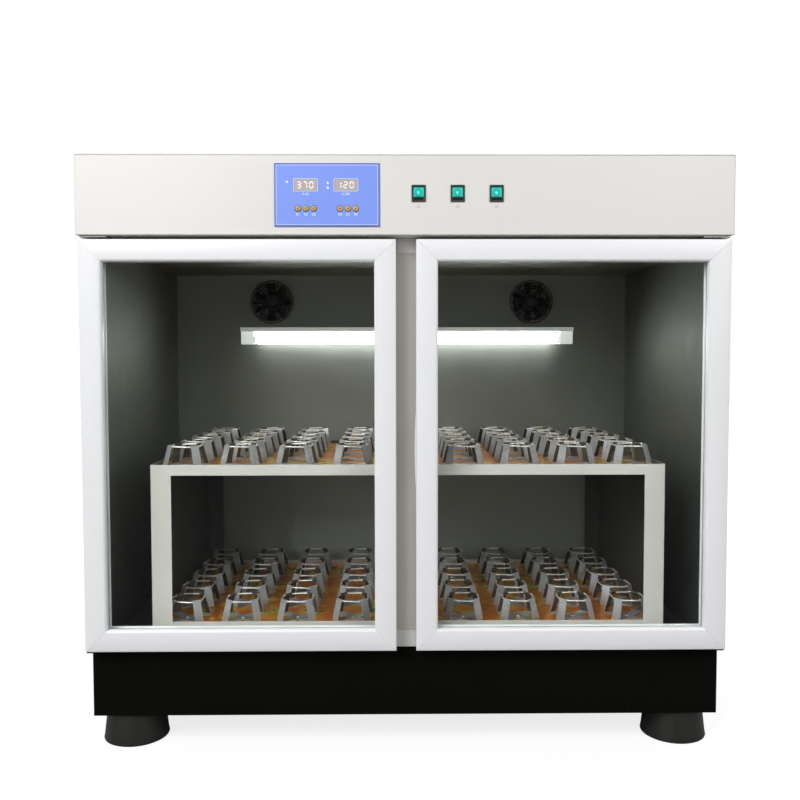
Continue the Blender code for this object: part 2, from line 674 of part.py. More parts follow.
def build_door(word, side):
    """A door: a mitred frame with a glazing groove, double glass, a gasket and, on the right, a pull."""
    x0, x1 = mirrored(side, DOOR_GAP / 2, DOOR_OUTER_X)
    low, high = (x0, DOOR_BOTTOM), (x1, DOOR_TOP)
    groove = DOOR_RAIL - GLASS_GROOVE
    glass_back = GLASS_SETBACK + GLASS_THICKNESS
    profile = (
        (0.0, DOOR_EDGE),
        (DOOR_EDGE, 0.0),
        (DOOR_RAIL - DOOR_BEVEL, 0.0),
        (DOOR_RAIL, DOOR_BEVEL),
        (DOOR_RAIL, GLASS_SETBACK),
        (groove, GLASS_SETBACK),
        (groove, glass_back),
        (DOOR_RAIL, glass_back),
        (DOOR_RAIL, DOOR_THICKNESS - DOOR_BACK_EDGE),
        (DOOR_RAIL - DOOR_BACK_EDGE, DOOR_THICKNESS),
        (0.0, DOOR_THICKNESS),
    )
    pivot = (side * PIVOT_X, PIVOT_Y, DOOR_BOTTOM)
    frame = mitred_frame(f"{word}_door_frame", low, high, profile, WHITE_FRAME, pivot)
    bores = bmesh.new()
    depth = PIVOT_DEPTH + 2 * SEAT_GAP
    for z in (DOOR_BOTTOM, DOOR_TOP):
        add_cylinder(bores, (pivot[0], PIVOT_Y, z - depth), 2 * depth, PIVOT_RADIUS + SEAT_GAP, segments=12)
    cut(frame, mesh_object(f"{word}_pivot_bores", bores))
    seat = groove + SEAT_GAP
    glass_low = (low[0] + seat, DOOR_FRONT_Y + GLASS_SETBACK + SEAT_GAP, low[1] + seat)
    glass_high = (high[0] - seat, DOOR_FRONT_Y + glass_back - SEAT_GAP, high[1] - seat)
    box(f"{word}_door_glass", glass_low, glass_high, CLEAR_GLASS, pivot)
    near, far = GASKET_INSET, GASKET_INSET + GASKET_WIDTH
    front, back = DOOR_THICKNESS + SEAT_GAP, CABINET_FRONT_Y - DOOR_FRONT_Y - SEAT_GAP
    section = ((near, front), (far, front), (far, back), (near, back))
    mitred_frame(f"{word}_door_gasket", low, high, section, BLACK_RUBBER, pivot)
    if side > 0:
        build_pull(x0, pivot)
    build_hinge_plates(word, side)


def build_pull(edge_x, pivot):
    """A slim bowed strip on the free edge of the right door."""
    bottom = DOOR_BOTTOM + PULL_LIFT
    seat_x = edge_x - SEAT_GAP
    y = PIVOT_Y - PULL_DEPTH / 2
    outline = [(seat_x, y, bottom + PULL_LENGTH), (seat_x, y, bottom)]
    for i in range(PULL_STEPS + 1):
        share = i / PULL_STEPS
        bow = PULL_TIP + (PULL_BULGE - PULL_TIP) * math.sin(math.pi * share)
        outline.append((seat_x - bow, y, bottom + share * PULL_LENGTH))
    bm = bmesh.new()
    add_prism(bm, outline, (0.0, PULL_DEPTH, 0.0))
    mesh_object("right_door_pull", bm, WHITE_FRAME, pivot)


def build_hinge_plates(word, side):
    """The plates with a door's pivots: one under the header, and an angle on the front of the base."""
    x = side * PIVOT_X
    edge = DOOR_OUTER_X - HINGE_EDGE_INSET
    x0, x1 = mirrored(side, edge, edge - HINGE_WIDTH)
    front, back = PIVOT_Y - PIVOT_INSET, CABINET_FRONT_Y - SEAT_GAP
    high = HEADER_BOTTOM - SEAT_GAP
    low = high - HINGE_PLATE
    plate = box(f"hinge_plate_{word}_top", (x0, front, low), (x1, back, high), MACHINED_STEEL)
    pin = bmesh.new()
    start = DOOR_TOP - PIVOT_DEPTH
    add_cylinder(pin, (x, PIVOT_Y, start), low + HINGE_PLATE / 2 - start, PIVOT_RADIUS, segments=12)
    fuse(plate, mesh_object(f"hinge_pin_{word}_top", pin))
    high = DOOR_BOTTOM - SEAT_GAP
    low = high - HINGE_PLATE
    plate = box(f"hinge_plate_{word}_bottom", (x0, front, low), (x1, back, high), BLACK_PAINT)
    pin = bmesh.new()
    start = low + HINGE_PLATE / 2
    add_cylinder(pin, (x, PIVOT_Y, start), DOOR_BOTTOM + PIVOT_DEPTH - start, PIVOT_RADIUS, segments=12)
    leg_low = (x0 + HINGE_EDGE_INSET, back - HINGE_PLATE, BASE_TOP - HINGE_LEG)
    add_box(pin, leg_low, (x1 - HINGE_EDGE_INSET, back - TUCK, start))
    fuse(plate, mesh_object(f"hinge_pin_{word}_bottom", pin))


def build_panel():
    """The blue panel, the board with its two displays behind it, and six buttons."""
    top = PANEL_BOTTOM + PANEL_HEIGHT
    right = PANEL_LEFT_X + PANEL_WIDTH
    low = (PANEL_LEFT_X, PANEL_BACK_Y - PANEL_THICKNESS, PANEL_BOTTOM)
    panel = box("control_panel", low, (right, PANEL_BACK_Y, top), BLUE_PANEL_FILM)
    holes = bmesh.new()
    board_parts = bmesh.new()
    board_y = FRONT_Y + BOARD_SETBACK
    inner_y = board_y + BOARD_THICKNESS / 2
    for offset in DISPLAY_OFFSETS:
        x0 = PANEL_LEFT_X + offset - DISPLAY_WIDTH / 2
        x1 = x0 + DISPLAY_WIDTH
        z0 = DISPLAY_Z - DISPLAY_HEIGHT / 2
        z1 = z0 + DISPLAY_HEIGHT
        add_box(holes, (x0, PANEL_BACK_Y - 2 * PANEL_THICKNESS, z0), (x1, PANEL_BACK_Y + PANEL_THICKNESS, z1))
        low = (x0 + SEAT_GAP, PANEL_BACK_Y - PANEL_THICKNESS + SEAT_GAP, z0 + SEAT_GAP)
        add_box(board_parts, low, (x1 - SEAT_GAP, inner_y, z1 - SEAT_GAP))
    xs = [PANEL_LEFT_X + offset + step * BUTTON_PITCH for offset in BUTTON_OFFSETS for step in (-1, 0, 1)]
    for number, x in enumerate(xs, start=1):
        build_button(f"button_{number}", x)
        start = (x, PANEL_BACK_Y - 2 * PANEL_THICKNESS, BUTTON_Z)
        add_cylinder(holes, start, 4 * PANEL_THICKNESS, BUTTON_RADIUS + BUTTON_CLEARANCE, "Y", 12)
    cut(panel, mesh_object("panel_holes", holes))
    inset = PANEL_OVERLAP + SHEET
    low = (PANEL_LEFT_X + inset, board_y, PANEL_BOTTOM + inset)
    board = box("control_board", low, (right - inset, board_y + BOARD_THICKNESS, top - inset), BOARD_GREEN)
    for x in (PANEL_LEFT_X + 2 * inset, right - 2 * inset):
        for z in (PANEL_BOTTOM + 2 * inset, top - 2 * inset):
            start = PANEL_BACK_Y + SEAT_GAP
            add_cylinder(board_parts, (x, start, z), inner_y - start, BOARD_POST_RADIUS, "Y", 8)
    fuse(board, mesh_object("board_parts", board_parts))


def build_button(name, x):
    """A round push button whose stem reaches back towards the board."""
    front = FRONT_Y - PANEL_THICKNESS - BUTTON_PROUD
    bm = bmesh.new()
    add_cylinder(bm, (x, front, BUTTON_Z), BUTTON_LENGTH, BUTTON_RADIUS, "Y", 12)
    round_edges(mesh_object(name, bm, BUTTON_GOLD, (x, front, BUTTON_Z), smooth=True), BUTTON_EDGE)


def build_switch(word, x):
    """A snap-in bezel with a rocker that tilts in it."""
    half_w, half_h = SWITCH_WIDTH / 2, SWITCH_HEIGHT / 2
    face_y = FRONT_Y - SEAT_GAP
    low = (x - half_w, face_y - SWITCH_PROUD, SWITCH_Z - half_h)
    bezel = box(f"switch_bezel_{word}", low, (x + half_w, face_y, SWITCH_Z + half_h), BLACK_PLASTIC)
    round_edges(bezel, SWITCH_EDGE)
    body_w, body_h = half_w - SWITCH_RIM / 2 - SEAT_GAP, half_h - SWITCH_RIM / 2 - SEAT_GAP
    low = (x - body_w, face_y - SWITCH_PROUD / 2, SWITCH_Z - body_h)
    fuse(bezel, box(f"switch_body_{word}", low, (x + body_w, FRONT_Y + SWITCH_DEPTH, SWITCH_Z + body_h)))
    well_w, well_h = half_w - SWITCH_RIM, half_h - SWITCH_RIM
    low = (x - well_w, face_y - 2 * SWITCH_PROUD, SWITCH_Z - well_h)
    high = (x + well_w, FRONT_Y + SWITCH_DEPTH - SWITCH_RIM, SWITCH_Z + well_h)
    cut(bezel, box(f"switch_well_{word}", low, high))
    build_rocker(word, x, well_w - ROCKER_CLEARANCE, well_h - ROCKER_CLEARANCE)


def build_rocker(word, x, half_w, half_h):
    """A rocker with a shallow V for its face and a tail behind its pivot, tilted to one side."""
    pivot = (x, FRONT_Y + ROCKER_PIVOT_SETBACK, SWITCH_Z)
    tilt = math.radians(ROCKER_TILT)
    front = -SEAT_GAP - SWITCH_PROUD - ROCKER_PIVOT_SETBACK - ROCKER_CLEARANCE
    rise = half_h * math.tan(tilt)
    section = (
        (front + rise, half_h - ROCKER_END_SLOPE),
        (front, 0.0),
        (front + rise, -half_h + ROCKER_END_SLOPE),
        (0.0, -half_h + ROCKER_SIDE_SLOPE),
        (ROCKER_TAIL, -ROCKER_TAIL_HALF),
        (ROCKER_TAIL, ROCKER_TAIL_HALF),
        (0.0, half_h - ROCKER_SIDE_SLOPE),
    )
    bm = bmesh.new()
    outline = [(x - half_w, pivot[1] + y, SWITCH_Z + z) for y, z in section]
    add_prism(bm, outline, (2 * half_w, 0.0, 0.0))
    bmesh.ops.rotate(bm, verts=bm.verts, cent=pivot, matrix=Matrix.Rotation(-tilt, 3, "X"))
    mesh_object(f"rocker_{word}", bm, ROCKER_TEAL, pivot)


def build_fan_guard(word, x):
    """A round guard on the back wall: rings on two crossed bars with a small hub."""
    guard_y = BACK_WALL_Y - SEAT_GAP - FAN_GUARD_BAR
    bar_half = FAN_GUARD_BAR / 2
    spokes = bmesh.new()
    depth = FAN_GUARD_BAR - bar_half / 2 - TUCK
    centre = (x, guard_y + bar_half / 2, FAN_Z)
    add_cross(spokes, centre, FAN_GUARD_RADIUS - bar_half, bar_half, depth, 45.0)
    pitch = (FAN_GUARD_RADIUS - FAN_GUARD_HUB) / FAN_GUARD_RINGS
    tools = [mesh_object(f"guard_spokes_{word}", spokes)]
    guard = None
    for number in range(FAN_GUARD_RINGS):
        outer = FAN_GUARD_RADIUS - number * pitch
        inner = outer - FAN_GUARD_BAR
        section = ((outer, 0.0), (inner, 0.0), (inner, FAN_GUARD_BAR), (outer, FAN_GUARD_BAR))
        ring = bmesh.new()
        add_ring(ring, (x, guard_y, FAN_Z), section, "Y", 16 if number < 2 else 12)
        if guard is None:
            guard = mesh_object(f"fan_guard_{word}", ring, BLACK_PLASTIC)
        else:
            tools.append(mesh_object(f"guard_ring_{word}_{number}", ring))
    hub = bmesh.new()
    add_cylinder(hub, (x, guard_y + TUCK, FAN_Z), FAN_GUARD_BAR - 3 * TUCK, FAN_GUARD_HUB, "Y", 12)
    tools.append(mesh_object(f"guard_hub_{word}", hub))
    for tool in tools:
        fuse(guard, tool)


def build_fan(word, x):
    """A fan behind the back wall: its square frame with a motor on crossed struts, and the impeller."""
    front = BACK_WALL_Y + SHEET + SEAT_GAP
    half = FAN_SIZE / 2
    motor_y = front + FAN_LENGTH - FAN_MOTOR_SETBACK
    low, high = (x - half, front, FAN_Z - half), (x + half, front + FAN_LENGTH, FAN_Z + half)
    housing = box(f"fan_housing_{word}", low, high, BLACK_PLASTIC)
    bore = bmesh.new()
    add_cylinder(bore, (x, front - SHEET, FAN_Z), FAN_LENGTH + 2 * SHEET, half - FAN_WALL, "Y")
    cut(housing, mesh_object(f"fan_bore_{word}", bore))
    struts = bmesh.new()
    centre = (x, motor_y + FAN_STRUT / 2, FAN_Z)
    add_cross(struts, centre, half - FAN_WALL / 2, FAN_STRUT / 2, FAN_STRUT)
    fuse(housing, mesh_object(f"fan_struts_{word}", struts))
    motor = bmesh.new()
    add_cylinder(motor, (x, motor_y, FAN_Z), FAN_MOTOR_LENGTH, FAN_HUB_RADIUS, "Y")
    fuse(housing, mesh_object(f"fan_motor_{word}", motor))
    hole = bmesh.new()
    start = (x, motor_y - SHEET, FAN_Z)
    add_cylinder(hole, start, FAN_STRUT + SHEET, FAN_SHAFT_RADIUS + SEAT_GAP, "Y", 12)
    cut(housing, mesh_object(f"fan_shaft_hole_{word}", hole))
    build_impeller(word, x, front, motor_y)


def build_impeller(word, x, front, motor_y):
    """The hub, blades and shaft of a fan."""
    wheel = bmesh.new()
    add_cylinder(wheel, (x, front + FAN_WHEEL_SETBACK, FAN_Z), FAN_WHEEL_LENGTH, FAN_HUB_RADIUS, "Y")
    impeller = mesh_object(f"fan_impeller_{word}", wheel, BLACK_PLASTIC, (x, motor_y, FAN_Z))
    blades = bmesh.new()
    tip = FAN_SIZE / 2 - FAN_WALL - FAN_TIP_GAP
    thick, chord = FAN_BLADE_THICKNESS / 2, FAN_BLADE_CHORD / 2
    middle = Matrix.Translation((x, front + FAN_WHEEL_SETBACK + chord, FAN_Z))
    for i in range(FAN_BLADES):
        verts = add_box(blades, (FAN_HUB_RADIUS - 2 * SHEET, -thick, -chord), (tip, thick, chord))
        spin = Matrix.Rotation(2 * math.pi * i / FAN_BLADES, 4, "Y")
        lean = Matrix.Rotation(math.radians(FAN_BLADE_PITCH), 4, "X")
        bmesh.ops.transform(blades, matrix=middle @ spin @ lean, verts=verts)
    fuse(impeller, mesh_object(f"fan_blades_{word}", blades))
    shaft = bmesh.new()
    start = (x, motor_y + FAN_STRUT - SHEET - FAN_SHAFT_LENGTH, FAN_Z)
    add_cylinder(shaft, start, FAN_SHAFT_LENGTH, FAN_SHAFT_RADIUS, "Y", 12)
    fuse(impeller, mesh_object(f"fan_shaft_{word}", shaft))


def build_lamp():
    """A fluorescent tube between two holders that hang below a shallow batten on the back wall."""
    left, right = LAMP_CENTRE_X - LAMP_LENGTH / 2, LAMP_CENTRE_X + LAMP_LENGTH / 2
    wall = BACK_WALL_Y - SEAT_GAP
    bottom = LAMP_Z + LAMP_TUBE_RADIUS + BATTEN_GAP
    high = (right, wall, bottom + BATTEN_THICKNESS)
    batten = box("lamp_batten", (left, wall - BATTEN_DEPTH, bottom), high, LAMP_WHITE)
    tube_y = BACK_WALL_Y - LAMP_STANDOFF
    reach = LAMP_TUBE_RADIUS + HOLDER_MARGIN
    holders = bmesh.new()
    for x0 in (left + TUCK, right - LAMP_HOLDER):
        low = (x0, tube_y - reach, LAMP_Z - reach)
        high = (x0 + LAMP_HOLDER - TUCK, tube_y + reach, bottom + BATTEN_THICKNESS / 2)
        add_box(holders, low, high)
    fuse(batten, mesh_object("lamp_holders", holders))
    start = left + LAMP_HOLDER + SEAT_GAP
    tube = bmesh.new()
    length = LAMP_LENGTH - 2 * LAMP_HOLDER - 2 * SEAT_GAP
    add_cylinder(tube, (start, tube_y, LAMP_Z), length, LAMP_TUBE_RADIUS, "X", 20)
    mesh_object("lamp_tube", tube, LAMP_WHITE, smooth=True)


def build_heater():
    """A bent tube heater that lies against the back of the liner."""
    y = BACK_WALL_Y + SHEET + SEAT_GAP + HEATER_RADIUS
    bend = HEATER_PITCH / 2
    points = []
    for i in range(HEATER_PASSES):
        side = 1 if i % 2 else -1
        z = HEATER_Z + i * HEATER_PITCH
        points += [(side * HEATER_HALF_WIDTH, z), (-side * HEATER_HALF_WIDTH, z)]
        if i == HEATER_PASSES - 1:
            break
        for turn in (-45.0, 0.0, 45.0):
            swing = math.radians(turn)
            x = -side * (HEATER_HALF_WIDTH + bend * math.cos(swing))
            points.append((x, z + bend + bend * math.sin(swing)))
    curve = bpy.data.curves.new("heater_element", "CURVE")
    curve.dimensions = "3D"
    curve.bevel_depth = HEATER_RADIUS
    curve.bevel_resolution = 1
    curve.use_fill_caps = True
    spline = curve.splines.new("POLY")
    spline.points.add(len(points) - 1)
    for point, (x, z) in zip(spline.points, points):
        point.co = (x, y, z, 1.0)
    curve.materials.append(MACHINED_STEEL)
    PARTS.objects.link(bpy.data.objects.new("heater_element", curve))


def clamp_octagon(bm, radius, height):
    """Eight points round a clamp: four short sides, as wide as its arms, on the diagonals at a radius."""
    points = []
    for turn in (45.0, 135.0, 225.0, 315.0):
        spin = Matrix.Rotation(math.radians(turn), 3, "Z")
        for side in (-1, 1):
            points.append(bm.verts.new(spin @ Vector((radius, side * CLAMP_ARM_WIDTH / 2, height))))
    return points


def one_clamp():
    """One flask clamp with its foot at z = 0: a ring lofted through octagons, on four leaning spring arms."""
    bm = bmesh.new()
    foot = -CLAMP_PLATE / 2
    ring_bottom = CLAMP_HEIGHT - CLAMP_RING_BAR
    outer_foot = clamp_octagon(bm, CLAMP_FOOT_RADIUS, foot)
    outer_ring = clamp_octagon(bm, CLAMP_RING_RADIUS, ring_bottom)
    top = clamp_octagon(bm, CLAMP_RING_RADIUS - CLAMP_ARM_THICKNESS / 2, CLAMP_HEIGHT)
    inner_ring = clamp_octagon(bm, CLAMP_RING_RADIUS - CLAMP_ARM_THICKNESS, ring_bottom)
    inner_foot = clamp_octagon(bm, CLAMP_FOOT_RADIUS - CLAMP_ARM_THICKNESS, foot)
    for i in range(8):
        j = (i + 1) % 8
        bm.faces.new((outer_ring[i], outer_ring[j], top[j], top[i]))
        bm.faces.new((top[i], top[j], inner_ring[j], inner_ring[i]))
        if i % 2:
            bm.faces.new((outer_ring[j], outer_ring[i], inner_ring[i], inner_ring[j]))
            continue
        bm.faces.new((outer_foot[i], outer_foot[j], outer_ring[j], outer_ring[i]))
        bm.faces.new((inner_foot[j], inner_foot[i], inner_ring[i], inner_ring[j]))
        bm.faces.new((inner_foot[i], inner_foot[j], outer_foot[j], outer_foot[i]))
        bm.faces.new((inner_foot[i], outer_foot[i], outer_ring[i], inner_ring[i]))
        bm.faces.new((outer_foot[j], inner_foot[j], inner_ring[j], outer_ring[j]))
    mesh = bpy.data.meshes.new("flask_clamp")
    bm.to_mesh(mesh)
    bm.free()
    return mesh


def evenly(centre, half, pitch):
    """Places at a pitch about a centre, as many as fit between plate edges with room for a clamp's feet."""
    reach = (CLAMP_FOOT_RADIUS + CLAMP_ARM_WIDTH / 2) / math.sqrt(2) + CLAMP_MARGIN
    count = 1 + int(2 * (half - reach) / pitch)
    return [centre + (i - (count - 1) / 2) * pitch for i in range(count)]


def build_clamp_plate(name, top_z, clamp):
    """A plated steel sheet with rows of flask clamps on it."""
    half_x = PLATFORM_HALF_WIDTH - PLATFORM_SHEET - SEAT_GAP
    half_y = (PLATFORM_REAR_Y - PLATFORM_FRONT_Y) / 2 - PLATFORM_SHEET - SEAT_GAP
    centre = (ORBIT_X, PLATFORM_CENTRE_Y, top_z)
    low = (ORBIT_X - half_x, PLATFORM_CENTRE_Y - half_y, top_z - CLAMP_PLATE)
    high = (ORBIT_X + half_x, PLATFORM_CENTRE_Y + half_y, top_z)
    plate = box(name, low, high, ZINC_PLATE, centre)
    copies = bmesh.new()
    for y in evenly(PLATFORM_CENTRE_Y, half_y, CLAMP_PITCH_Y):
        for x in evenly(ORBIT_X, half_x, CLAMP_PITCH_X):
            before = len(copies.verts)
            copies.from_mesh(clamp)
            copies.verts.ensure_lookup_table()
            bmesh.ops.translate(copies, verts=copies.verts[before:], vec=(x, y, top_z))
    fuse(plate, mesh_object(f"{name}_clamps", copies))
    plate.data.materials.append(SPRING_STEEL)


def build_platform():
    """The two-tier platform: side panels with front and rear flanges, and an upper deck."""
    x0, x1 = ORBIT_X - PLATFORM_HALF_WIDTH, ORBIT_X + PLATFORM_HALF_WIDTH
    y0, y1 = PLATFORM_FRONT_Y, PLATFORM_REAR_Y
    bottom, sheet = PLATFORM_BOTTOM, PLATFORM_SHEET
    centre = (ORBIT_X, PLATFORM_CENTRE_Y, bottom)
    frame = box("platform_frame", (x0, y0, bottom), (x1, y1, UPPER_DECK_Z), PLATFORM_PAINT, centre)
    low = (x0 + sheet, y0 + sheet, bottom - sheet)
    cut(frame, box("platform_inside", low, (x1 - sheet, y1 - sheet, UPPER_PAN_TOP - sheet)))
    low = (x0 + sheet, y0 + sheet, UPPER_PAN_TOP)
    cut(frame, box("upper_tray_inside", low, (x1 - sheet, y1 - sheet, UPPER_DECK_Z + sheet)))
    low = (x0 + PLATFORM_FLANGE, y0 - sheet, bottom - sheet)
    cut(frame, box("platform_windows", low, (x1 - PLATFORM_FLANGE, y1 + sheet, UPPER_DECK_Z - DECK_LIP)))
    build_lower_tray(x0, x1, centre)
    clamp = one_clamp()
    build_clamp_plate("upper_clamp_plate", UPPER_DECK_Z - DECK_RECESS, clamp)
    build_clamp_plate("lower_clamp_plate", LOWER_LIP_Z - DECK_RECESS, clamp)


def build_lower_tray(x0, x1, centre):
    """The tray of the lower tier: a pan with front and rear lips, wings to the side panels and five bushes."""
    y0, y1 = PLATFORM_FRONT_Y, PLATFORM_REAR_Y
    bottom, sheet = PLATFORM_BOTTOM, PLATFORM_SHEET
    low = (x0 + PLATFORM_FLANGE + SEAT_GAP, y0, bottom)
    high = (x1 - PLATFORM_FLANGE - SEAT_GAP, y1, LOWER_LIP_Z)
    pan = box("lower_tray", low, high, PLATFORM_PAINT, centre)
    cut(pan, box("tray_inside", (x0, y0 + sheet, LOWER_PAN_TOP), (x1, y1 - sheet, LOWER_LIP_Z + sheet)))
    cut(pan, box("tray_underside", (x0, y0 + sheet, bottom - sheet), (x1, y1 - sheet, LOWER_PAN_TOP - sheet)))
    inset = sheet + SEAT_GAP
    low = (x0 + inset, y0 + inset, LOWER_PAN_TOP - sheet + TUCK)
    fuse(pan, box("tray_wings", low, (x1 - inset, y1 - inset, LOWER_PAN_TOP - TUCK)))
    bushes = bmesh.new()
    bores = bmesh.new()
    for i, (shaft_x, shaft_y) in enumerate(crank_places()):
        x, y = shaft_x + ORBIT_X, shaft_y + ORBIT_Y
        play = RUNNING_GAP if i == 0 else IDLER_PLAY
        add_cylinder(bushes, (x, y, bottom), LOWER_PAN_TOP - sheet / 2 - bottom, BUSH_RADIUS, segments=12)
        start = bottom - sheet
        add_cylinder(bores, (x, y, start), BUSH_BORE_TOP - start, CRANK_PIN_RADIUS + play, segments=12)
    fuse(pan, mesh_object("tray_bushes", bushes))
    cut(pan, mesh_object("tray_bores", bores))


def crank_places():
    """The shaft centres: the driven crank in the middle and four idlers round it."""
    return [(0.0, CRANK_Y)] + [(sx * IDLER_X, CRANK_Y + sy * IDLER_Y) for sy in (-1, 1) for sx in (-1, 1)]


def build_deck():
    """The plate under the chamber with the bearing bosses of the five cranks."""
    inset = SHEET + SEAT_GAP
    low = (-HALF_WIDTH + inset, CABINET_FRONT_Y + inset, DECK_BOTTOM)
    deck = box("drive_deck", low, (HALF_WIDTH - inset, REAR_Y - inset, BASE_TOP), CAST_ALUMINIUM)
    bosses = bmesh.new()
    bores = bmesh.new()
    for x, y in crank_places():
        add_cylinder(bosses, (x, y, BOSS_BOTTOM), BOSS_LENGTH - DECK_PLATE / 2, BOSS_RADIUS)
        start = (x, y, BOSS_BOTTOM - DECK_PLATE)
        add_cylinder(bores, start, BOSS_LENGTH + 2 * DECK_PLATE, CRANK_SHAFT_RADIUS + RUNNING_GAP, segments=12)
    fuse(deck, mesh_object("deck_bosses", bosses))
    cut(deck, mesh_object("deck_bores", bores))


def build_motor():
    """The motor on the base floor with its pulley."""
    motor = bmesh.new()
    add_cylinder(motor, (MOTOR_X, CRANK_Y, MOTOR_BOTTOM), MOTOR_HEIGHT, MOTOR_RADIUS, segments=24)
    body = mesh_object("drive_motor", motor, CAST_ALUMINIUM)
    fittings = bmesh.new()
    middle = MOTOR_BOTTOM + MOTOR_HEIGHT / 2
    length = MOTOR_SHAFT_LENGTH + MOTOR_HEIGHT / 2
    add_cylinder(fittings, (MOTOR_X, CRANK_Y, middle), length, MOTOR_SHAFT_RADIUS)
    reach = MOTOR_RADIUS + MOTOR_FOOT_REACH
    low = (MOTOR_X - reach, CRANK_Y - MOTOR_FOOT_HALF_WIDTH, MOTOR_BOTTOM)
    high = (MOTOR_X + reach, CRANK_Y + MOTOR_FOOT_HALF_WIDTH, MOTOR_BOTTOM + MOTOR_FOOT_THICKNESS)
    add_box(fittings, low, high)
    fuse(body, mesh_object("motor_shaft_and_foot", fittings))
    bore = MOTOR_SHAFT_RADIUS + SEAT_GAP
    rim = MOTOR_PULLEY_RADIUS
    pulley = bmesh.new()
    section = ((bore, 0.0), (rim, 0.0), (rim, PULLEY_WIDTH), (bore, PULLEY_WIDTH))
    add_ring(pulley, (MOTOR_X, CRANK_Y, PULLEY_Z), section, steps=PULLEY_STEPS)
    mesh_object("motor_pulley", pulley, MACHINED_STEEL, (MOTOR_X, CRANK_Y, PULLEY_Z))


def belt_outline(margin):
    """The outline of a belt round the two pulleys, at a margin outside their rims and clear of them."""
    big, small = MAIN_PULLEY_RADIUS + margin, MOTOR_PULLEY_RADIUS + margin
    lean = math.acos((big - small) / MOTOR_X)
    points = []
    for centre_x, radius, start, sweep, steps in (
        (0.0, big, lean, 2 * math.pi - 2 * lean, 16),
        (MOTOR_X, small, -lean, 2 * lean, 8),
    ):
        clear = radius / math.cos(sweep / steps / 2)
        for i in range(steps + 1):
            turn = start + sweep * i / steps
            points.append((centre_x + clear * math.cos(turn), CRANK_Y + clear * math.sin(turn)))
    return points


def build_belt():
    """The belt from the motor pulley to the main crank's pulley."""
    inner, outer = belt_outline(BELT_GAP), belt_outline(BELT_THICKNESS)
    low, high = PULLEY_Z + BELT_SIDE_INSET, PULLEY_Z + PULLEY_WIDTH - BELT_SIDE_INSET
    levels = ((inner, low), (outer, low), (outer, high), (inner, high))
    loft("drive_belt", [[(x, y, z) for x, y in outline] for outline, z in levels], BLACK_RUBBER)


def build_crank(name, x, y):
    """A crank: a head with an eccentric pin, on a shaft that runs down through its bearing boss."""
    head = bmesh.new()
    add_cylinder(head, (x, y, CRANK_HEAD_BOTTOM), CRANK_HEAD_TOP - CRANK_HEAD_BOTTOM, CRANK_HEAD_RADIUS)
    crank = mesh_object(name, head, MACHINED_STEEL, (x, y, CRANK_HEAD_BOTTOM))
    driven = name == "main_crank"
    bottom = PULLEY_Z if driven else BOSS_BOTTOM - RUNNING_GAP - COLLAR_LENGTH
    shaft = bmesh.new()
    length = CRANK_HEAD_BOTTOM + CRANK_HEAD_GAP / 2 - bottom
    add_cylinder(shaft, (x, y, bottom), length, CRANK_SHAFT_RADIUS, segments=12)
    fuse(crank, mesh_object(f"{name}_shaft", shaft))
    pin = bmesh.new()
    start = CRANK_HEAD_TOP - CRANK_HEAD_GAP
    length = BUSH_BORE_TOP - SEAT_GAP - start
    add_cylinder(pin, (x + ORBIT_X, y + ORBIT_Y, start), length, CRANK_PIN_RADIUS, segments=12)
    fuse(crank, mesh_object(f"{name}_pin", pin))
    end = bmesh.new()
    if driven:
        add_cylinder(end, (x, y, bottom), PULLEY_WIDTH, MAIN_PULLEY_RADIUS, segments=24)
    else:
        add_cylinder(end, (x, y, bottom), COLLAR_LENGTH, CRANK_SHAFT_RADIUS + COLLAR_WIDTH, segments=12)
    fuse(crank, mesh_object(f"{name}_end", end))
    if driven:
        fuse(crank, counterweight(x, y))


def counterweight(x, y):
    """A sector under the main pulley, opposite the eccentric pin."""
    z = PULLEY_Z - COUNTERWEIGHT_THICKNESS
    outline = [(x, y, z)]
    for i in range(COUNTERWEIGHT_STEPS + 1):
        share = i / COUNTERWEIGHT_STEPS - 0.5
        swing = math.radians(ORBIT_REST_ANGLE + 180.0 + share * COUNTERWEIGHT_SWEEP)
        reach_x, reach_y = COUNTERWEIGHT_RADIUS * math.cos(swing), COUNTERWEIGHT_RADIUS * math.sin(swing)
        outline.append((x + reach_x, y + reach_y, z))
    weight = bmesh.new()
    add_prism(weight, outline, (0.0, 0.0, 1.5 * COUNTERWEIGHT_THICKNESS))
    return mesh_object("counterweight", weight)


def build_cranks():
    """The driven crank and the four idlers."""
    names = ["main_crank"] + [f"idler_crank_{row}_{word}" for row in ("front", "rear") for word, _ in SIDES]
    for name, (x, y) in zip(names, crank_places()):
        build_crank(name, x, y)


def main():
    """Build every piece of the incubator."""
    build_header()
    build_casing()
    build_rear_panel()
    build_liner()
    build_front_frame()
    build_base()
    build_inlet()
    build_panel()
    for word, x in zip(("left", "middle", "right"), SWITCH_XS):
        build_switch(word, x)
    for word, side in SIDES:
        build_door(word, side)
        build_fan_guard(word, side * FAN_X)
        build_fan(word, side * FAN_X)
    build_lamp()
    build_heater()
    build_platform()
    build_deck()
    build_motor()
    build_belt()
    build_cranks()


main()
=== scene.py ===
"""Looks of a shaking incubator: painted sheet metal, glazed doors, lit controls and two tiers of clamps."""
import math

import bmesh
import bpy
from bpy.props import FloatProperty, FloatVectorProperty, IntProperty, PointerProperty
from mathutils import Euler, Matrix, Vector


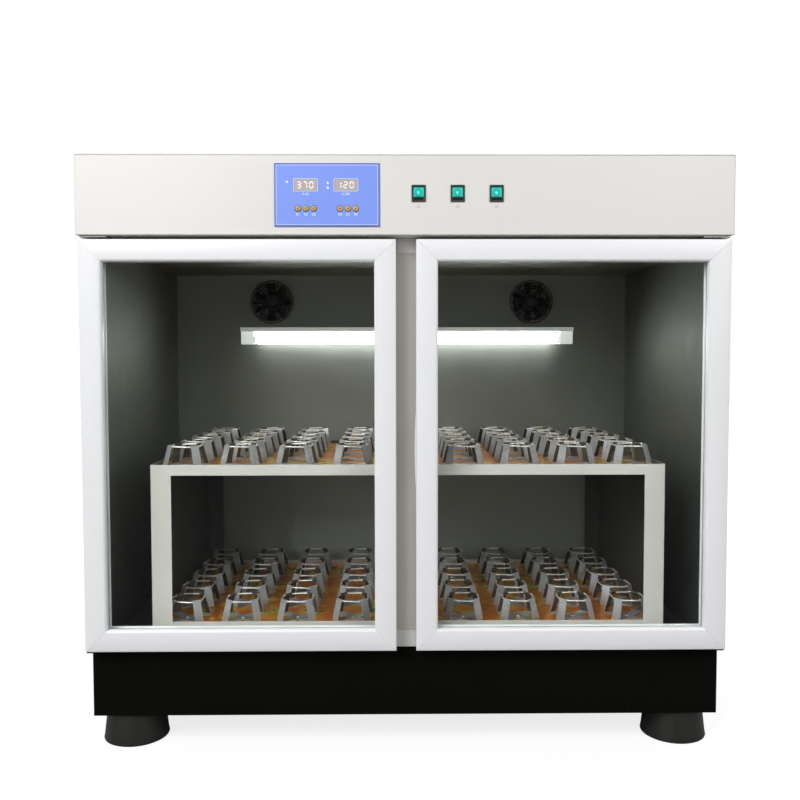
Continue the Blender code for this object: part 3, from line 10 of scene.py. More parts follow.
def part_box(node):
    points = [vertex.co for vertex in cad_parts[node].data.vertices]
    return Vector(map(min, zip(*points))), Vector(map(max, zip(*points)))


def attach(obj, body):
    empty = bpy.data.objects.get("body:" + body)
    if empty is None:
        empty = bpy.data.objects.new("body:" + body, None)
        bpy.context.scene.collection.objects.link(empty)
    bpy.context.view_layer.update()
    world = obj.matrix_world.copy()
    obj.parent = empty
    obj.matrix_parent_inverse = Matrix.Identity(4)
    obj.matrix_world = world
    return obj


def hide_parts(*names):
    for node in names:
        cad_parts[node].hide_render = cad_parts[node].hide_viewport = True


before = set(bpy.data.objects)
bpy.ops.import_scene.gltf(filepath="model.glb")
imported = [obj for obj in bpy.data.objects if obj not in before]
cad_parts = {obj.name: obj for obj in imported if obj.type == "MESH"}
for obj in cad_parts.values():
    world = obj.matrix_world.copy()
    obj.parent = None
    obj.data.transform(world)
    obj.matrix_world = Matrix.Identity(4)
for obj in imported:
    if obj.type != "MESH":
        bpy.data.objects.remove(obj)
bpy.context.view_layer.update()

bl_info = {
    "name": "Shaking Incubator Looks",
    "version": (1, 0, 0),
    "blender": (4, 5, 0),
    "location": "View3D > Sidebar > Incubator",
    "description": "Finishes, glazing, controls and flask clamps of a shaking incubator",
    "category": "Object",
}

# Places read from the CAD parts
PANEL_LOW, PANEL_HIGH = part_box("control_panel")
LAMP_LOW, LAMP_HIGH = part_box("lamp_tube")
BATTEN_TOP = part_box("lamp_batten")[1].z
ROCKER_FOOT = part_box("rocker_middle")[0].z
SIDES = ("left", "right")
SWITCHES = ("left", "middle", "right")

# Printed film: its thickness, and a letter's size for each unit of its height
PRINT = 0.00012
WORD_SIZE = 1.42


def angle_value(name, description, degrees):
    """An angle that a user can set."""
    return FloatProperty(
        name=name, description=description, subtype="ANGLE", unit="ROTATION", default=math.radians(degrees)
    )


def power_value(name, description, watts):
    """A light's power that a user can set."""
    return FloatProperty(name=name, description=description, unit="POWER", default=watts, min=0.0)


def length_value(name, description, metres):
    """A length that a user can set."""
    return FloatProperty(name=name, description=description, unit="LENGTH", default=metres)


def colour_value(name, description, colour):
    """A colour that a user can set."""
    return FloatVectorProperty(name=name, description=description, subtype="COLOR", size=3, default=colour)


class IncubatorCamera(bpy.types.PropertyGroup):
    """Where the camera stands and how it looks."""

    place: FloatVectorProperty(
        name="Place", description="Camera position", subtype="TRANSLATION", default=(-0.0270, -1.9145, 0.7417)
    )
    pitch: angle_value("Pitch", "Downward tilt", 2.662)
    yaw: angle_value("Yaw", "Turn towards +X", 0.569)
    roll: angle_value("Roll", "Turn about the view axis", 0.069)
    focal: FloatProperty(name="Focal length", description="In mm on a 36 mm sensor", default=38.25, min=1.0)


class IncubatorLights(bpy.types.PropertyGroup):
    """Brightness of the studio lights and of the lamp in the chamber."""

    key: power_value("Key", "Large soft light at the front left", 152.0)
    top: power_value("Top", "Soft light overhead", 4.0)
    fill: power_value("Fill", "Soft light at the front right", 60.0)
    rear: power_value("Rear", "Soft light behind", 36.0)
    world: FloatProperty(name="World", description="Light from all round", default=0.42, min=0.0)
    tube: FloatProperty(name="Tube", description="Glow of the chamber lamp", default=9.5, min=0.0)


class IncubatorClamps(bpy.types.PropertyGroup):
    """Sizes of the flask clamps."""

    columns: IntProperty(name="Columns", description="Clamps across the platform", default=9, min=1)
    rows: IntProperty(name="Rows", description="Clamps from front to back", default=5, min=1)
    pitch_x: length_value("Pitch across", "Spacing of columns", 0.1102)
    pitch_y: length_value("Pitch deep", "Spacing of rows", 0.1020)
    height: length_value("Height", "Plate to ring wire centre", 0.0405)
    ring: length_value("Ring radius", "Centre to wire at an arm", 0.0325)
    wire: length_value("Wire radius", "Radius of the ring wire", 0.0015)
    foot: length_value("Foot radius", "Centre to the foot of an arm", 0.0455)
    arm: length_value("Arm width", "Width of a spring arm", 0.0180)
    sheet: length_value("Arm thickness", "Spring steel sheet", 0.0011)


class IncubatorColours(bpy.types.PropertyGroup):
    """Colours of the paints, the liner and the control panel."""

    cabinet: colour_value("Cabinet", "Cream-grey paint", (0.74, 0.726, 0.695))
    doors: colour_value("Doors", "White lacquered sections", (0.84, 0.845, 0.86))
    base: colour_value("Base", "Black paint", (0.0032, 0.0033, 0.0024))
    liner: colour_value("Liner", "Brushed stainless steel", (0.225, 0.23, 0.208))
    platform: colour_value("Platform", "Platform paint", (0.47, 0.438, 0.41))
    panel: colour_value("Panel", "Blue control panel", (0.215, 0.330, 0.890))


def settings():
    """The scene's own values."""
    return bpy.context.scene.incubator_looks


# Node helpers


def feed(tree, socket, value):
    """Link another node's output to an input, or set the input's own value."""
    if isinstance(value, bpy.types.NodeSocket):
        tree.links.new(value, socket)
    else:
        socket.default_value = value


def node(tree, kind, **values):
    """A node with its properties set and its inputs fed by name, with spaces as underscores."""
    made = tree.nodes.new(kind)
    for key, value in values.items():
        if hasattr(made, key):
            setattr(made, key, value)
        else:
            feed(tree, made.inputs[key.replace("_", " ")], value)
    return made


def maths(tree, operation, *values, kind="ShaderNodeMath"):
    """The result of a math node fed with numbers or other nodes' outputs."""
    step = node(tree, kind, operation=operation)
    for socket, value in zip([s for s in step.inputs if s.enabled], values):
        feed(tree, socket, value)
    return next(s for s in step.outputs if s.enabled)


def vector_maths(tree, operation, *values):
    """The result of a vector math node."""
    return maths(tree, operation, *values, kind="ShaderNodeVectorMath")


def mapped(tree, value, low, high, bottom=0.0, top=1.0):
    """A number taken from one range to another and held at its ends."""
    step = node(
        tree, "ShaderNodeMapRange", Value=value, From_Min=low, From_Max=high, To_Min=bottom, To_Max=top
    )
    return step.outputs["Result"]


def blend(tree, data_type, factor, first, second):
    """A mix of two colours (data type RGBA) or of two numbers (FLOAT)."""
    step = node(tree, "ShaderNodeMix", data_type=data_type, Factor=factor)
    kind = "VALUE" if data_type == "FLOAT" else data_type
    ends = [s for s in step.inputs if s.name in ("A", "B") and s.type == kind]
    feed(tree, ends[0], first)
    feed(tree, ends[1], second)
    return next(s for s in step.outputs if s.type == kind)


def noise(tree, place, scale, detail=2.0, roughness=0.5, distortion=0.0):
    """A noise texture over a place in space."""
    return node(
        tree, "ShaderNodeTexNoise", Vector=place, Scale=scale,
        Detail=detail, Roughness=roughness, Distortion=distortion
    )


def stepped_ramp(tree, factor, stops):
    """The colour that a factor picks from these places and colours."""
    ramp = node(tree, "ShaderNodeValToRGB", Fac=factor)
    elements = ramp.color_ramp.elements
    for index, (position, colour) in enumerate(stops):
        stop = elements[index] if index < 2 else elements.new(position)
        stop.position = position
        stop.color = solid(colour)
    return ramp.outputs["Color"]


def object_place(tree):
    """Each point's own place in its piece."""
    return tree.nodes.new("ShaderNodeTexCoord").outputs["Object"]


def solid(colour):
    """A colour with full alpha."""
    return (*colour[:3], 1.0)


# Shader node groups


def shader_group(name, inputs):
    """A new group that puts out a colour, a roughness and a normal, with the outputs of its own inputs."""
    tree = bpy.data.node_groups.new(name, "ShaderNodeTree")
    for label, kind, value in inputs:
        socket = tree.interface.new_socket(label, in_out="INPUT", socket_type=f"NodeSocket{kind}")
        socket.default_value = value
    for label, kind in (("Colour", "Color"), ("Roughness", "Float"), ("Normal", "Vector")):
        tree.interface.new_socket(label, in_out="OUTPUT", socket_type=f"NodeSocket{kind}")
    return tree, tree.nodes.new("NodeGroupInput").outputs


def put_out_finish(tree, given, centred, contrast, unevenness, relief):
    """Vary the given colour and gloss with a noise about zero, and put them out with the relief."""
    value = maths(tree, "MULTIPLY_ADD", centred, contrast, 1.0)
    tint = node(tree, "ShaderNodeHueSaturation", Value=value, Color=given["Colour"]).outputs["Color"]
    gloss = maths(tree, "MULTIPLY_ADD", centred, unevenness, given["Gloss"])
    node(tree, "NodeGroupOutput", Colour=tint, Roughness=gloss, Normal=relief.outputs["Normal"])


def paint_group():
    """Sprayed paint: fine orange peel, faint cloudiness and a little uneven gloss."""
    tree, given = shader_group(
        "sprayed_paint",
        (
            ("Colour", "Color", (0.8, 0.8, 0.8, 1.0)),
            ("Cloud", "Float", 0.03),
            ("Gloss", "Float", 0.40),
            ("Peel Size", "Float", 700.0),
            ("Peel Depth", "Float", 0.06),
        ),
    )
    place = object_place(tree)
    clouds = noise(tree, place, 3.5, 3.0, 0.55).outputs["Fac"]
    centred = maths(tree, "SUBTRACT", clouds, 0.5)
    peel = noise(tree, place, given["Peel Size"]).outputs["Fac"]
    relief = node(tree, "ShaderNodeBump", Distance=0.0004, Strength=given["Peel Depth"], Height=peel)
    put_out_finish(tree, given, centred, given["Cloud"], 0.12, relief)
    return tree


def grain_group():
    """Rolled or drawn metal: fine streaks along one axis in colour, gloss and relief."""
    tree, given = shader_group(
        "metal_grain",
        (
            ("Colour", "Color", (0.6, 0.6, 0.6, 1.0)),
            ("Stretch", "Vector", (1.0, 1.0, 0.05)),
            ("Grain Size", "Float", 900.0),
            ("Contrast", "Float", 0.2),
            ("Gloss", "Float", 0.3),
            ("Depth", "Float", 0.1),
        ),
    )
    place = object_place(tree)
    stretched = vector_maths(tree, "MULTIPLY", place, given["Stretch"])
    streaks = noise(tree, stretched, given["Grain Size"], 3.0, 0.6).outputs["Fac"]
    broad = noise(tree, place, 28.0).outputs["Fac"]
    centred = maths(tree, "SUBTRACT", maths(tree, "ADD", streaks, broad), 1.0)
    relief = node(tree, "ShaderNodeBump", Distance=0.0002, Strength=given["Depth"], Height=streaks)
    put_out_finish(tree, given, centred, given["Contrast"], 0.25, relief)
    return tree


GROUP_MAKERS = {"sprayed_paint": paint_group, "metal_grain": grain_group}


# Finishes


def new_material(name, **sockets):
    """A material whose Principled shader has plain values set by socket name, with spaces as underscores."""
    material = bpy.data.materials.new(name)
    material.use_nodes = True
    shader = material.node_tree.nodes["Principled BSDF"]
    for key, value in sockets.items():
        shader.inputs[key.replace("_", " ")].default_value = value
    return material, shader


def surface(name, group, metallic=0.0, specular=0.5, brushed=0.0, glow=0.0, **values):
    """A material with colour, gloss and relief from a shared group, brushed or given a painted glow where
    asked.
    """
    material, shader = new_material(
        name,
        Metallic=metallic,
        Specular_IOR_Level=specular,
        Anisotropic=brushed,
        Anisotropic_Rotation=0.25,
        Emission_Color=values["Colour"],
        Emission_Strength=glow,
    )
    tree = material.node_tree
    shared = bpy.data.node_groups.get(group) or GROUP_MAKERS[group]()
    effect = node(tree, "ShaderNodeGroup", node_tree=shared, **values).outputs
    feed(tree, shader.inputs["Base Color"], effect["Colour"])
    feed(tree, shader.inputs["Roughness"], effect["Roughness"])
    feed(tree, shader.inputs["Normal"], effect["Normal"])
    return material


def painted(name, colour, gloss, **values):
    """A sprayed, printed or moulded surface."""
    return surface(name, "sprayed_paint", Colour=solid(colour), Gloss=gloss, **values)


def metal(name, colour, gloss, metallic=1.0, **values):
    """Bare metal with a grain."""
    return surface(name, "metal_grain", metallic, Colour=solid(colour), Gloss=gloss, **values)


def glass_material():
    """Clear glass that lets the lamps' light straight through, so what is behind it is lit."""
    material, shader = new_material(
        "door_glass",
        Base_Color=(0.97, 0.985, 0.98, 1.0),
        Roughness=0.0,
        IOR=1.45,
        Transmission_Weight=1.0,
        Specular_Tint=(0.08, 0.08, 0.08, 1.0),
    )
    tree = material.node_tree
    path = tree.nodes.new("ShaderNodeLightPath").outputs
    clear = node(tree, "ShaderNodeBsdfTransparent", Color=(0.95, 0.965, 0.96, 1.0))
    shown = tree.nodes.new("ShaderNodeMixShader")
    for socket, value in zip(shown.inputs, (path["Is Shadow Ray"], shader.outputs[0], clear.outputs[0])):
        feed(tree, socket, value)
    feed(tree, tree.nodes["Material Output"].inputs["Surface"], shown.outputs[0])
    return material


def spring_material():
    """Bright spring steel strip, with a dark painted shade and a painted brown reflection of the plate on the
    inward faces that the attribute inner marks.
    """
    material = metal("spring_steel", (0.41, 0.40, 0.41), 0.32, 0.5, Stretch=(1.0, 1.0, 0.08))
    tree = material.node_tree
    base = tree.nodes["Principled BSDF"].inputs["Base Color"]
    bright = base.links[0].from_socket
    inner = node(tree, "ShaderNodeAttribute", attribute_name="inner").outputs["Fac"]
    # The inward faces get a dark brown painted shade with the plate's reflection painted in.
    feed(tree, base, blend(tree, "RGBA", inner, bright, (0.085, 0.075, 0.058, 1.0)))
    return material


def zinc_material():
    """Yellow-passivated zinc sheet: gold and orange with drifting patches of red, green and violet."""
    material, shader = new_material("yellow_zinc", Metallic=0.5)
    tree = material.node_tree
    drift = noise(tree, object_place(tree), 9.0, 4.0, 0.6, 1.2).outputs["Fac"]
    patches = stepped_ramp(
        tree,
        drift,
        (
            (0.25, (0.14, 0.18, 0.05)),
            (0.38, (0.62, 0.44, 0.04)),
            (0.47, (0.74, 0.25, 0.02)),
            (0.55, (0.52, 0.12, 0.02)),
            (0.63, (0.80, 0.48, 0.06)),
            (0.72, (0.26, 0.32, 0.12)),
            (0.80, (0.36, 0.18, 0.16)),
        ),
    )
    feed(tree, shader.inputs["Base Color"], patches)
    feed(tree, shader.inputs["Roughness"], mapped(tree, drift, 0.0, 1.0, 0.18, 0.42))
    return material


def rocker_material():
    """A translucent teal rocker lit from inside: a bright mark, a paler edge and a dark painted shade over
    its lower end.
    """
    material, shader = new_material("lit_rocker", Roughness=0.25, Emission_Strength=0.75)
    tree = material.node_tree
    face = node(tree, "ShaderNodeUVMap", uv_map="face").outputs["UV"]
    cloud = noise(tree, face, 3.5, 1.0).outputs["Color"]
    shift = vector_maths(tree, "MULTIPLY_ADD", cloud, (0.22, 0.22, 0.0), face)
    from_mark = vector_maths(tree, "DISTANCE", shift, (0.57, 0.66, 0.0))
    glow = stepped_ramp(
        tree,
        from_mark,
        (
            (0.05, (0.14, 0.92, 0.80)),
            (0.16, (0.010, 0.30, 0.245)),
            (0.36, (0.010, 0.26, 0.215)),
            (0.46, (0.035, 0.36, 0.30)),
        ),
    )
    height = node(tree, "ShaderNodeSeparateXYZ", Vector=face).outputs["Y"]
    # Below about a fifth of the face's height the rocker is painted dark: painted shade on its tilted lower
    # end.
    above_end = mapped(tree, height, 0.17, 0.25)
    lit = blend(tree, "RGBA", above_end, (0.012, 0.024, 0.020, 1.0), glow)
    feed(tree, shader.inputs["Emission Color"], lit)
    feed(tree, shader.inputs["Base Color"], lit)
    return material


def bezel_material():
    """Dark moulded plastic, with a painted teal glow of the lit rocker above the rocker's foot and brown
    along its lower edge.
    """
    material, shader = new_material("switch_bezel", Roughness=0.4)
    tree = material.node_tree
    height = node(tree, "ShaderNodeSeparateXYZ", Vector=object_place(tree)).outputs["Z"]
    share = mapped(tree, height, ROCKER_FOOT - 0.0012, ROCKER_FOOT + 0.0004)
    # Above the rocker's foot the teal is painted light from the lit rocker.
    shades = ((0.0, (0.045, 0.034, 0.034)), (1.0, (0.006, 0.044, 0.037)))
    feed(tree, shader.inputs["Base Color"], stepped_ramp(tree, share, shades))
    return material


def glow_material(name, colour, strength):
    """A lit surface."""
    shade = solid(colour)
    material, shader = new_material(name, Base_Color=shade, Emission_Color=shade, Emission_Strength=strength)
    shader.inputs["Roughness"].default_value = 0.4
    return material


def make_materials():
    """Every finish, by name."""
    colours = settings().colours
    return {
        "cabinet": painted("cabinet_paint", colours.cabinet, 0.42),
        # The mullion's paint is the cabinet's paint darkened: painted shade for its place behind the doors.
        "mullion": painted("mullion_paint", (0.55, 0.54, 0.48), 0.42),
        "doors": painted("door_lacquer", colours.doors, 0.30, Cloud=0.015, Peel_Depth=0.03),
        "base": painted("base_paint", colours.base, 0.5, specular=0.05, Cloud=0.3, Peel_Depth=0.1),
        "liner": metal(
            "brushed_stainless", colours.liner, 0.52,
            brushed=0.3, Stretch=(1.0, 1.0, 0.03), Contrast=0.10, Depth=0.05
        ),
        "platform": painted("platform_paint", colours.platform, 0.46, Cloud=0.04),
        # Near-black painted shade for the platform's faces inside the lower bay.
        "platform_inside": painted("platform_inside", (0.035, 0.035, 0.030), 0.5, Cloud=0.2),
        # The batten's glow is painted light from the tube.
        "batten": painted("batten_paint", (0.80, 0.83, 0.81), 0.38, glow=0.16),
        "panel": painted("panel_film", colours.panel, 0.36, Cloud=0.02, Peel_Size=1600.0),
        "rubber": painted("foot_rubber", (0.012, 0.012, 0.010), 0.40, Cloud=0.4, Peel_Depth=0.2),
        "seal": painted("seal_rubber", (0.025, 0.025, 0.025), 0.7, Cloud=0.3),
        "plastic": painted("black_plastic", (0.018, 0.018, 0.017), 0.42, Cloud=0.2),
        "board": painted("circuit_board", (0.015, 0.14, 0.06), 0.4, Cloud=0.3),
        "button": painted("button_cap", (0.80, 0.50, 0.08), 0.3, Cloud=0.2),
        "button_heart": painted("button_middle", (0.28, 0.16, 0.015), 0.3, Cloud=0.3),
        "print": painted("white_print", (0.86, 0.88, 0.97), 0.4, Cloud=0.05),
        "pale_print": painted("pale_blue_print", (0.52, 0.58, 0.97), 0.4, Cloud=0.05),
        "edge_print": painted("dark_blue_print", (0.075, 0.095, 0.29), 0.4, Cloud=0.05),
        "label_print": painted("brown_print", (0.40, 0.31, 0.28), 0.5, Cloud=0.1),
        "wire": metal("ring_wire", (0.84, 0.83, 0.80), 0.24, 0.55, Contrast=0.3),
        "steel": metal("machined_steel", (0.50, 0.50, 0.50), 0.32),
        "cast": metal("cast_aluminium", (0.58, 0.58, 0.57), 0.55, Depth=0.4),
        "spring": spring_material(),
        "zinc": zinc_material(),
        "glass": glass_material(),
        "rocker": rocker_material(),
        "bezel": bezel_material(),
        "tube": glow_material("lamp_tube_glow", (0.96, 1.0, 1.0), settings().lights.tube),
        # The holders' glow is painted light from the tube.
        "holder": glow_material("lamp_holder", (0.80, 0.84, 0.83), 0.55),
        "window": glow_material("display_window", (0.40, 0.37, 0.35), 0.12),
        "digit": glow_material("display_digit", (0.90, 0.74, 0.80), 0.45),
    }


FINISH = {}


def finish(name):
    """A finish, made on first use."""
    if not FINISH:
        FINISH.update(make_materials())
    return FINISH[name]


# Mesh helpers


def linked(name, data):
    """An object with this data, placed in the scene."""
    piece = bpy.data.objects.new(name, data)
    bpy.context.scene.collection.objects.link(piece)
    return piece


def plain_mesh(name, bm):
    """A mesh from a bmesh, which is freed."""
    mesh = bpy.data.meshes.new(name)
    bm.to_mesh(mesh)
    bm.free()
    return mesh


def publish(name, mesh, body, replaces=()):
    """Link a finished mesh at the origin, parent it to the empty of the body it rides on, and hide the CAD
    parts it stands for.
    """
    piece = linked(name, mesh)
    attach(piece, body)
    if replaces:
        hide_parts(*replaces)
    return piece


def evaluated_mesh(piece, name):
    """A plain mesh of an object with its modifiers applied. The object is removed."""
    graph = bpy.context.evaluated_depsgraph_get()
    shape = piece.evaluated_get(graph)
    mesh = bpy.data.meshes.new_from_object(shape, preserve_all_data_layers=True, depsgraph=graph)
    mesh.name = name
    old = piece.data
    bpy.data.objects.remove(piece)
    bpy.data.meshes.remove(old)
    return mesh


def softened(name, bm, materials, radius=0.0, segments=3, smooth=35.0):
    """A mesh from a bmesh whose sharp edges are rounded, shaded smooth across the rounds."""
    mesh = plain_mesh(name, bm)
    for material in materials:
        mesh.materials.append(finish(material))
    piece = linked(name, mesh)
    if radius:
        rounding = piece.modifiers.new("rounded_edges", "BEVEL")
        rounding.width = radius
        rounding.segments = segments
        rounding.limit_method = "ANGLE"
        rounding.angle_limit = math.radians(smooth)
        rounding.harden_normals = True
    mesh.shade_smooth()
    mesh.set_sharp_from_angle(angle=math.radians(smooth))
    return evaluated_mesh(piece, name)


def add_box(bm, low, high):
    """A box between two corners."""
    size = [b - a for a, b in zip(low, high)]
    middle = [(a + b) / 2 for a, b in zip(low, high)]
    bmesh.ops.create_cube(bm, size=1.0, matrix=Matrix.Translation(middle) @ Matrix.Diagonal((*size, 1.0)))


def add_cylinder(bm, start, length, radius, axis="Z", segments=32, end_radius=None):
    """A capped cylinder or cone that runs from its start along +axis."""
    turn = {"X": Euler((0.0, math.pi / 2, 0.0)), "Y": Euler((-math.pi / 2, 0.0, 0.0)), "Z": Euler()}[axis]
    place = Matrix.Translation(start) @ turn.to_matrix().to_4x4() @ Matrix.Translation((0.0, 0.0, length / 2))
    radius_2 = radius if end_radius is None else end_radius
    bmesh.ops.create_cone(
        bm, cap_ends=True, segments=segments, radius1=radius, radius2=radius_2, depth=length, matrix=place
    )


def add_loft(bm, rings, closed=True):
    """Faces through rings with the same number of points. Open ends are capped."""
    rows = [[bm.verts.new(point) for point in ring] for ring in rings]
    count = len(rows[0])
    pairs = list(zip(rows, rows[1:]))
    if closed:
        pairs.append((rows[-1], rows[0]))
    for row, after in pairs:
        for i in range(count):
            j = (i + 1) % count
            bm.faces.new((row[i], row[j], after[j], after[i]))
    if not closed:
        bm.faces.new(rows[0][::-1])
        bm.faces.new(rows[-1])


def add_frame(bm, low, high, front, rear, outer, inner):
    """A rectangular ring between two insets from the edges of an upright rectangle."""
    rings = []
    for inset, y in ((outer, front), (inner, front), (inner, rear), (outer, rear)):
        left, right = low.x + inset, high.x - inset
        bottom, top = low.z + inset, high.z - inset
        rings.append([(left, y, bottom), (right, y, bottom), (right, y, top), (left, y, top)])
    add_loft(bm, rings)


def outward(bm):
    """Merge doubles and turn every face outwards."""
    bmesh.ops.remove_doubles(bm, verts=bm.verts, dist=0.000005)
    bmesh.ops.recalc_face_normals(bm, faces=bm.faces)
    return bm


def turned(profile, centre, steps, axis="Z", bm=None):
    """A shape turned about an axis, Y or Z. The profile gives radius and place on the axis."""
    bm = bmesh.new() if bm is None else bm
    rows = []
    for i in range(steps):
        turn = 2 * math.pi * i / steps
        row = []
        for radius, along in profile:
            across = centre.x + radius * math.cos(turn)
            if axis == "Z":
                point = (across, centre.y + radius * math.sin(turn), along)
            else:
                point = (across, along, centre.z + radius * math.sin(turn))
            row.append(bm.verts.new(point))
        rows.append(row)
    for row, after in zip(rows, rows[1:] + rows[:1]):
        for i in range(len(profile) - 1):
            bm.faces.new((row[i], row[i + 1], after[i + 1], after[i]))
    return outward(bm)


def add_words(bm, words, place, height):
    """Plain printed numbers, centred on a point of a surface that faces the front."""
    curve = bpy.data.curves.new("words", "FONT")
    curve.body = words
    curve.size = height * WORD_SIZE
    curve.align_x = "CENTER"
    curve.align_y = "CENTER"
    curve.extrude = PRINT / 2
    curve.resolution_u = 3
    piece = linked("words", curve)
    graph = bpy.context.evaluated_depsgraph_get()
    mesh = bpy.data.meshes.new_from_object(piece.evaluated_get(graph), depsgraph=graph)
    upright = Matrix.Rotation(math.radians(90.0), 4, "X")
    mesh.transform(Matrix.Translation((place[0], place[1] - PRINT / 2, place[2])) @ upright)
    bm.from_mesh(mesh)
    bpy.data.objects.remove(piece)
    bpy.data.curves.remove(curve)
    bpy.data.meshes.remove(mesh)


def merged(node_name):
    """A CAD node's shape with its corners merged and its flat faces whole."""
    bm = bmesh.new()
    bm.from_mesh(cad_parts[node_name].data)
    bmesh.ops.remove_doubles(bm, verts=bm.verts, dist=0.00001)
    bmesh.ops.dissolve_limit(bm, angle_limit=math.radians(0.5), verts=bm.verts, edges=bm.edges)
    return bm


def dressed(node_name, material, body, radius=0.0006, segments=2):
    """A copy of a CAD node with merged corners and softly rounded edges, which stands for the node."""
    mesh = softened(f"{node_name}_finished", merged(node_name), (material,), radius, segments)
    return publish(f"{node_name}_finished", mesh, body, (node_name,))


def repaint(node_name, material):
    """Give a CAD node whose shape is right its finish."""
    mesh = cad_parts[node_name].data
    mesh.materials.clear()
    mesh.materials.append(finish(material))


# Geometry node helpers


def geometry_tree(name, inputs):
    """A geometry node tree with a geometry socket each way, and the outputs of its own inputs."""
    tree = bpy.data.node_groups.new(name, "GeometryNodeTree")
    tree.interface.new_socket("Geometry", in_out="INPUT", socket_type="NodeSocketGeometry")
    tree.interface.new_socket("Geometry", in_out="OUTPUT", socket_type="NodeSocketGeometry")
    for label, kind in inputs:
        tree.interface.new_socket(label, in_out="INPUT", socket_type=f"NodeSocket{kind}")
    return tree, tree.nodes.new("NodeGroupInput").outputs


def grown(name, start, tree, values):
    """The plain mesh that a tree makes from a starting mesh with these input values."""
    piece = linked(name, start)
    modifier = piece.modifiers.new(tree.name, "NODES")
    modifier.node_group = tree
    for item in tree.interface.items_tree:
        if item.item_type == "SOCKET" and item.in_out == "INPUT" and item.name in values:
            modifier[item.identifier] = values[item.name]
    return evaluated_mesh(piece, name)


def made_real(tree, instances, material):
    """Instances turned into plain geometry with their finish."""
    real = node(tree, "GeometryNodeRealizeInstances", Geometry=instances)
    dyed = node(tree, "GeometryNodeSetMaterial", Geometry=real.outputs["Geometry"], Material=material)
    return dyed.outputs["Geometry"]


def set_out(tree, points, shape, rotation, material):
    """A finished copy of a shape on each point."""
    copies = node(tree, "GeometryNodeInstanceOnPoints", Points=points, Instance=shape, Rotation=rotation)
    return made_real(tree, copies.outputs["Instances"], material)


def round_bar(tree, curve, radius, sides, **values):
    """A bar of round section along a curve."""
    section = node(tree, "GeometryNodeCurvePrimitiveCircle", Resolution=sides, Radius=radius).outputs["Curve"]
    bar = node(tree, "GeometryNodeCurveToMesh", Curve=curve, Profile_Curve=section, **values)
    return bar.outputs["Mesh"]


def side_distance(tree, angle, middle, apothem):
    """How far a straight side lies along an angle. Its middle comes once in each quarter turn."""
    high = math.radians(middle + 45.0)
    low = math.radians(middle - 45.0)
    local = maths(tree, "SUBTRACT", maths(tree, "WRAP", angle, high, low), math.radians(middle))
    return maths(tree, "DIVIDE", apothem, maths(tree, "COSINE", local))


def ring_wire(tree, given):
    """A ring of wire bent nearly to an octagon, which rises and falls a little."""
    place = tree.nodes.new("GeometryNodeInputPosition").outputs[0]
    split = node(tree, "ShaderNodeSeparateXYZ", Vector=place).outputs
    angle = maths(tree, "ARCTAN2", split["Y"], split["X"])
    between_arms = side_distance(tree, angle, 0.0, 0.94)
    at_arms = side_distance(tree, angle, 45.0, 1.0)
    octagon = maths(tree, "SMOOTH_MIN", between_arms, at_arms, 0.06)
    shaped = vector_maths(tree, "SCALE", place, octagon)
    wave = maths(tree, "SINE", maths(tree, "MULTIPLY", angle, 2.0))
    lift = maths(tree, "MULTIPLY_ADD", wave, 0.0006, given["Ring Height"])
    rise = node(tree, "ShaderNodeCombineXYZ", Z=lift).outputs[0]
    path = vector_maths(tree, "ADD", shaped, rise)
    circle = node(tree, "GeometryNodeCurvePrimitiveCircle", Resolution=40, Radius=given["Ring Radius"])
    bent = node(tree, "GeometryNodeSetPosition", Geometry=circle.outputs["Curve"], Position=path)
    ring = round_bar(tree, bent.outputs["Geometry"], given["Wire Radius"], 7)
    return node(tree, "GeometryNodeSetShadeSmooth", Geometry=ring).outputs["Geometry"]


def clamp_tree():
    """Flask clamps on a grid: the arms come in as a mesh, and each gets a ring of wire that its arms hold."""
    tree, given = geometry_tree(
        "flask_clamps",
        (
            ("Columns", "Int"),
            ("Rows", "Int"),
            ("Pitch Across", "Float"),
            ("Pitch Deep", "Float"),
            ("Centre", "Vector"),
            ("Ring Radius", "Float"),
            ("Ring Height", "Float"),
            ("Wire Radius", "Float"),
            ("Sway", "Float"),
            ("Seed", "Int"),
            ("Arm Finish", "Material"),
            ("Wire Finish", "Material"),
        ),
    )
    grid = node(
        tree,
        "GeometryNodeMeshGrid",
        Size_X=maths(tree, "MULTIPLY", maths(tree, "SUBTRACT", given["Columns"], 1.0), given["Pitch Across"]),
        Size_Y=maths(tree, "MULTIPLY", maths(tree, "SUBTRACT", given["Rows"], 1.0), given["Pitch Deep"]),
        Vertices_X=given["Columns"],
        Vertices_Y=given["Rows"],
    )
    moved = node(tree, "GeometryNodeTransform", Geometry=grid.outputs["Mesh"], Translation=given["Centre"])
    low = vector_maths(tree, "SCALE", (-0.12, -0.12, -1.0), given["Sway"])
    high = vector_maths(tree, "SCALE", (0.12, 0.12, 1.0), given["Sway"])
    sway = node(
        tree, "FunctionNodeRandomValue", data_type="FLOAT_VECTOR", Min=low, Max=high, Seed=given["Seed"]
    ).outputs["Value"]
    joined = tree.nodes.new("GeometryNodeJoinGeometry")
    for shape, label in ((given["Geometry"], "Arm Finish"), (ring_wire(tree, given), "Wire Finish")):
        copies = set_out(tree, moved.outputs["Geometry"], shape, sway, given[label])
        feed(tree, joined.inputs["Geometry"], copies)
    node(tree, "NodeGroupOutput", Geometry=joined.outputs["Geometry"])
    return tree


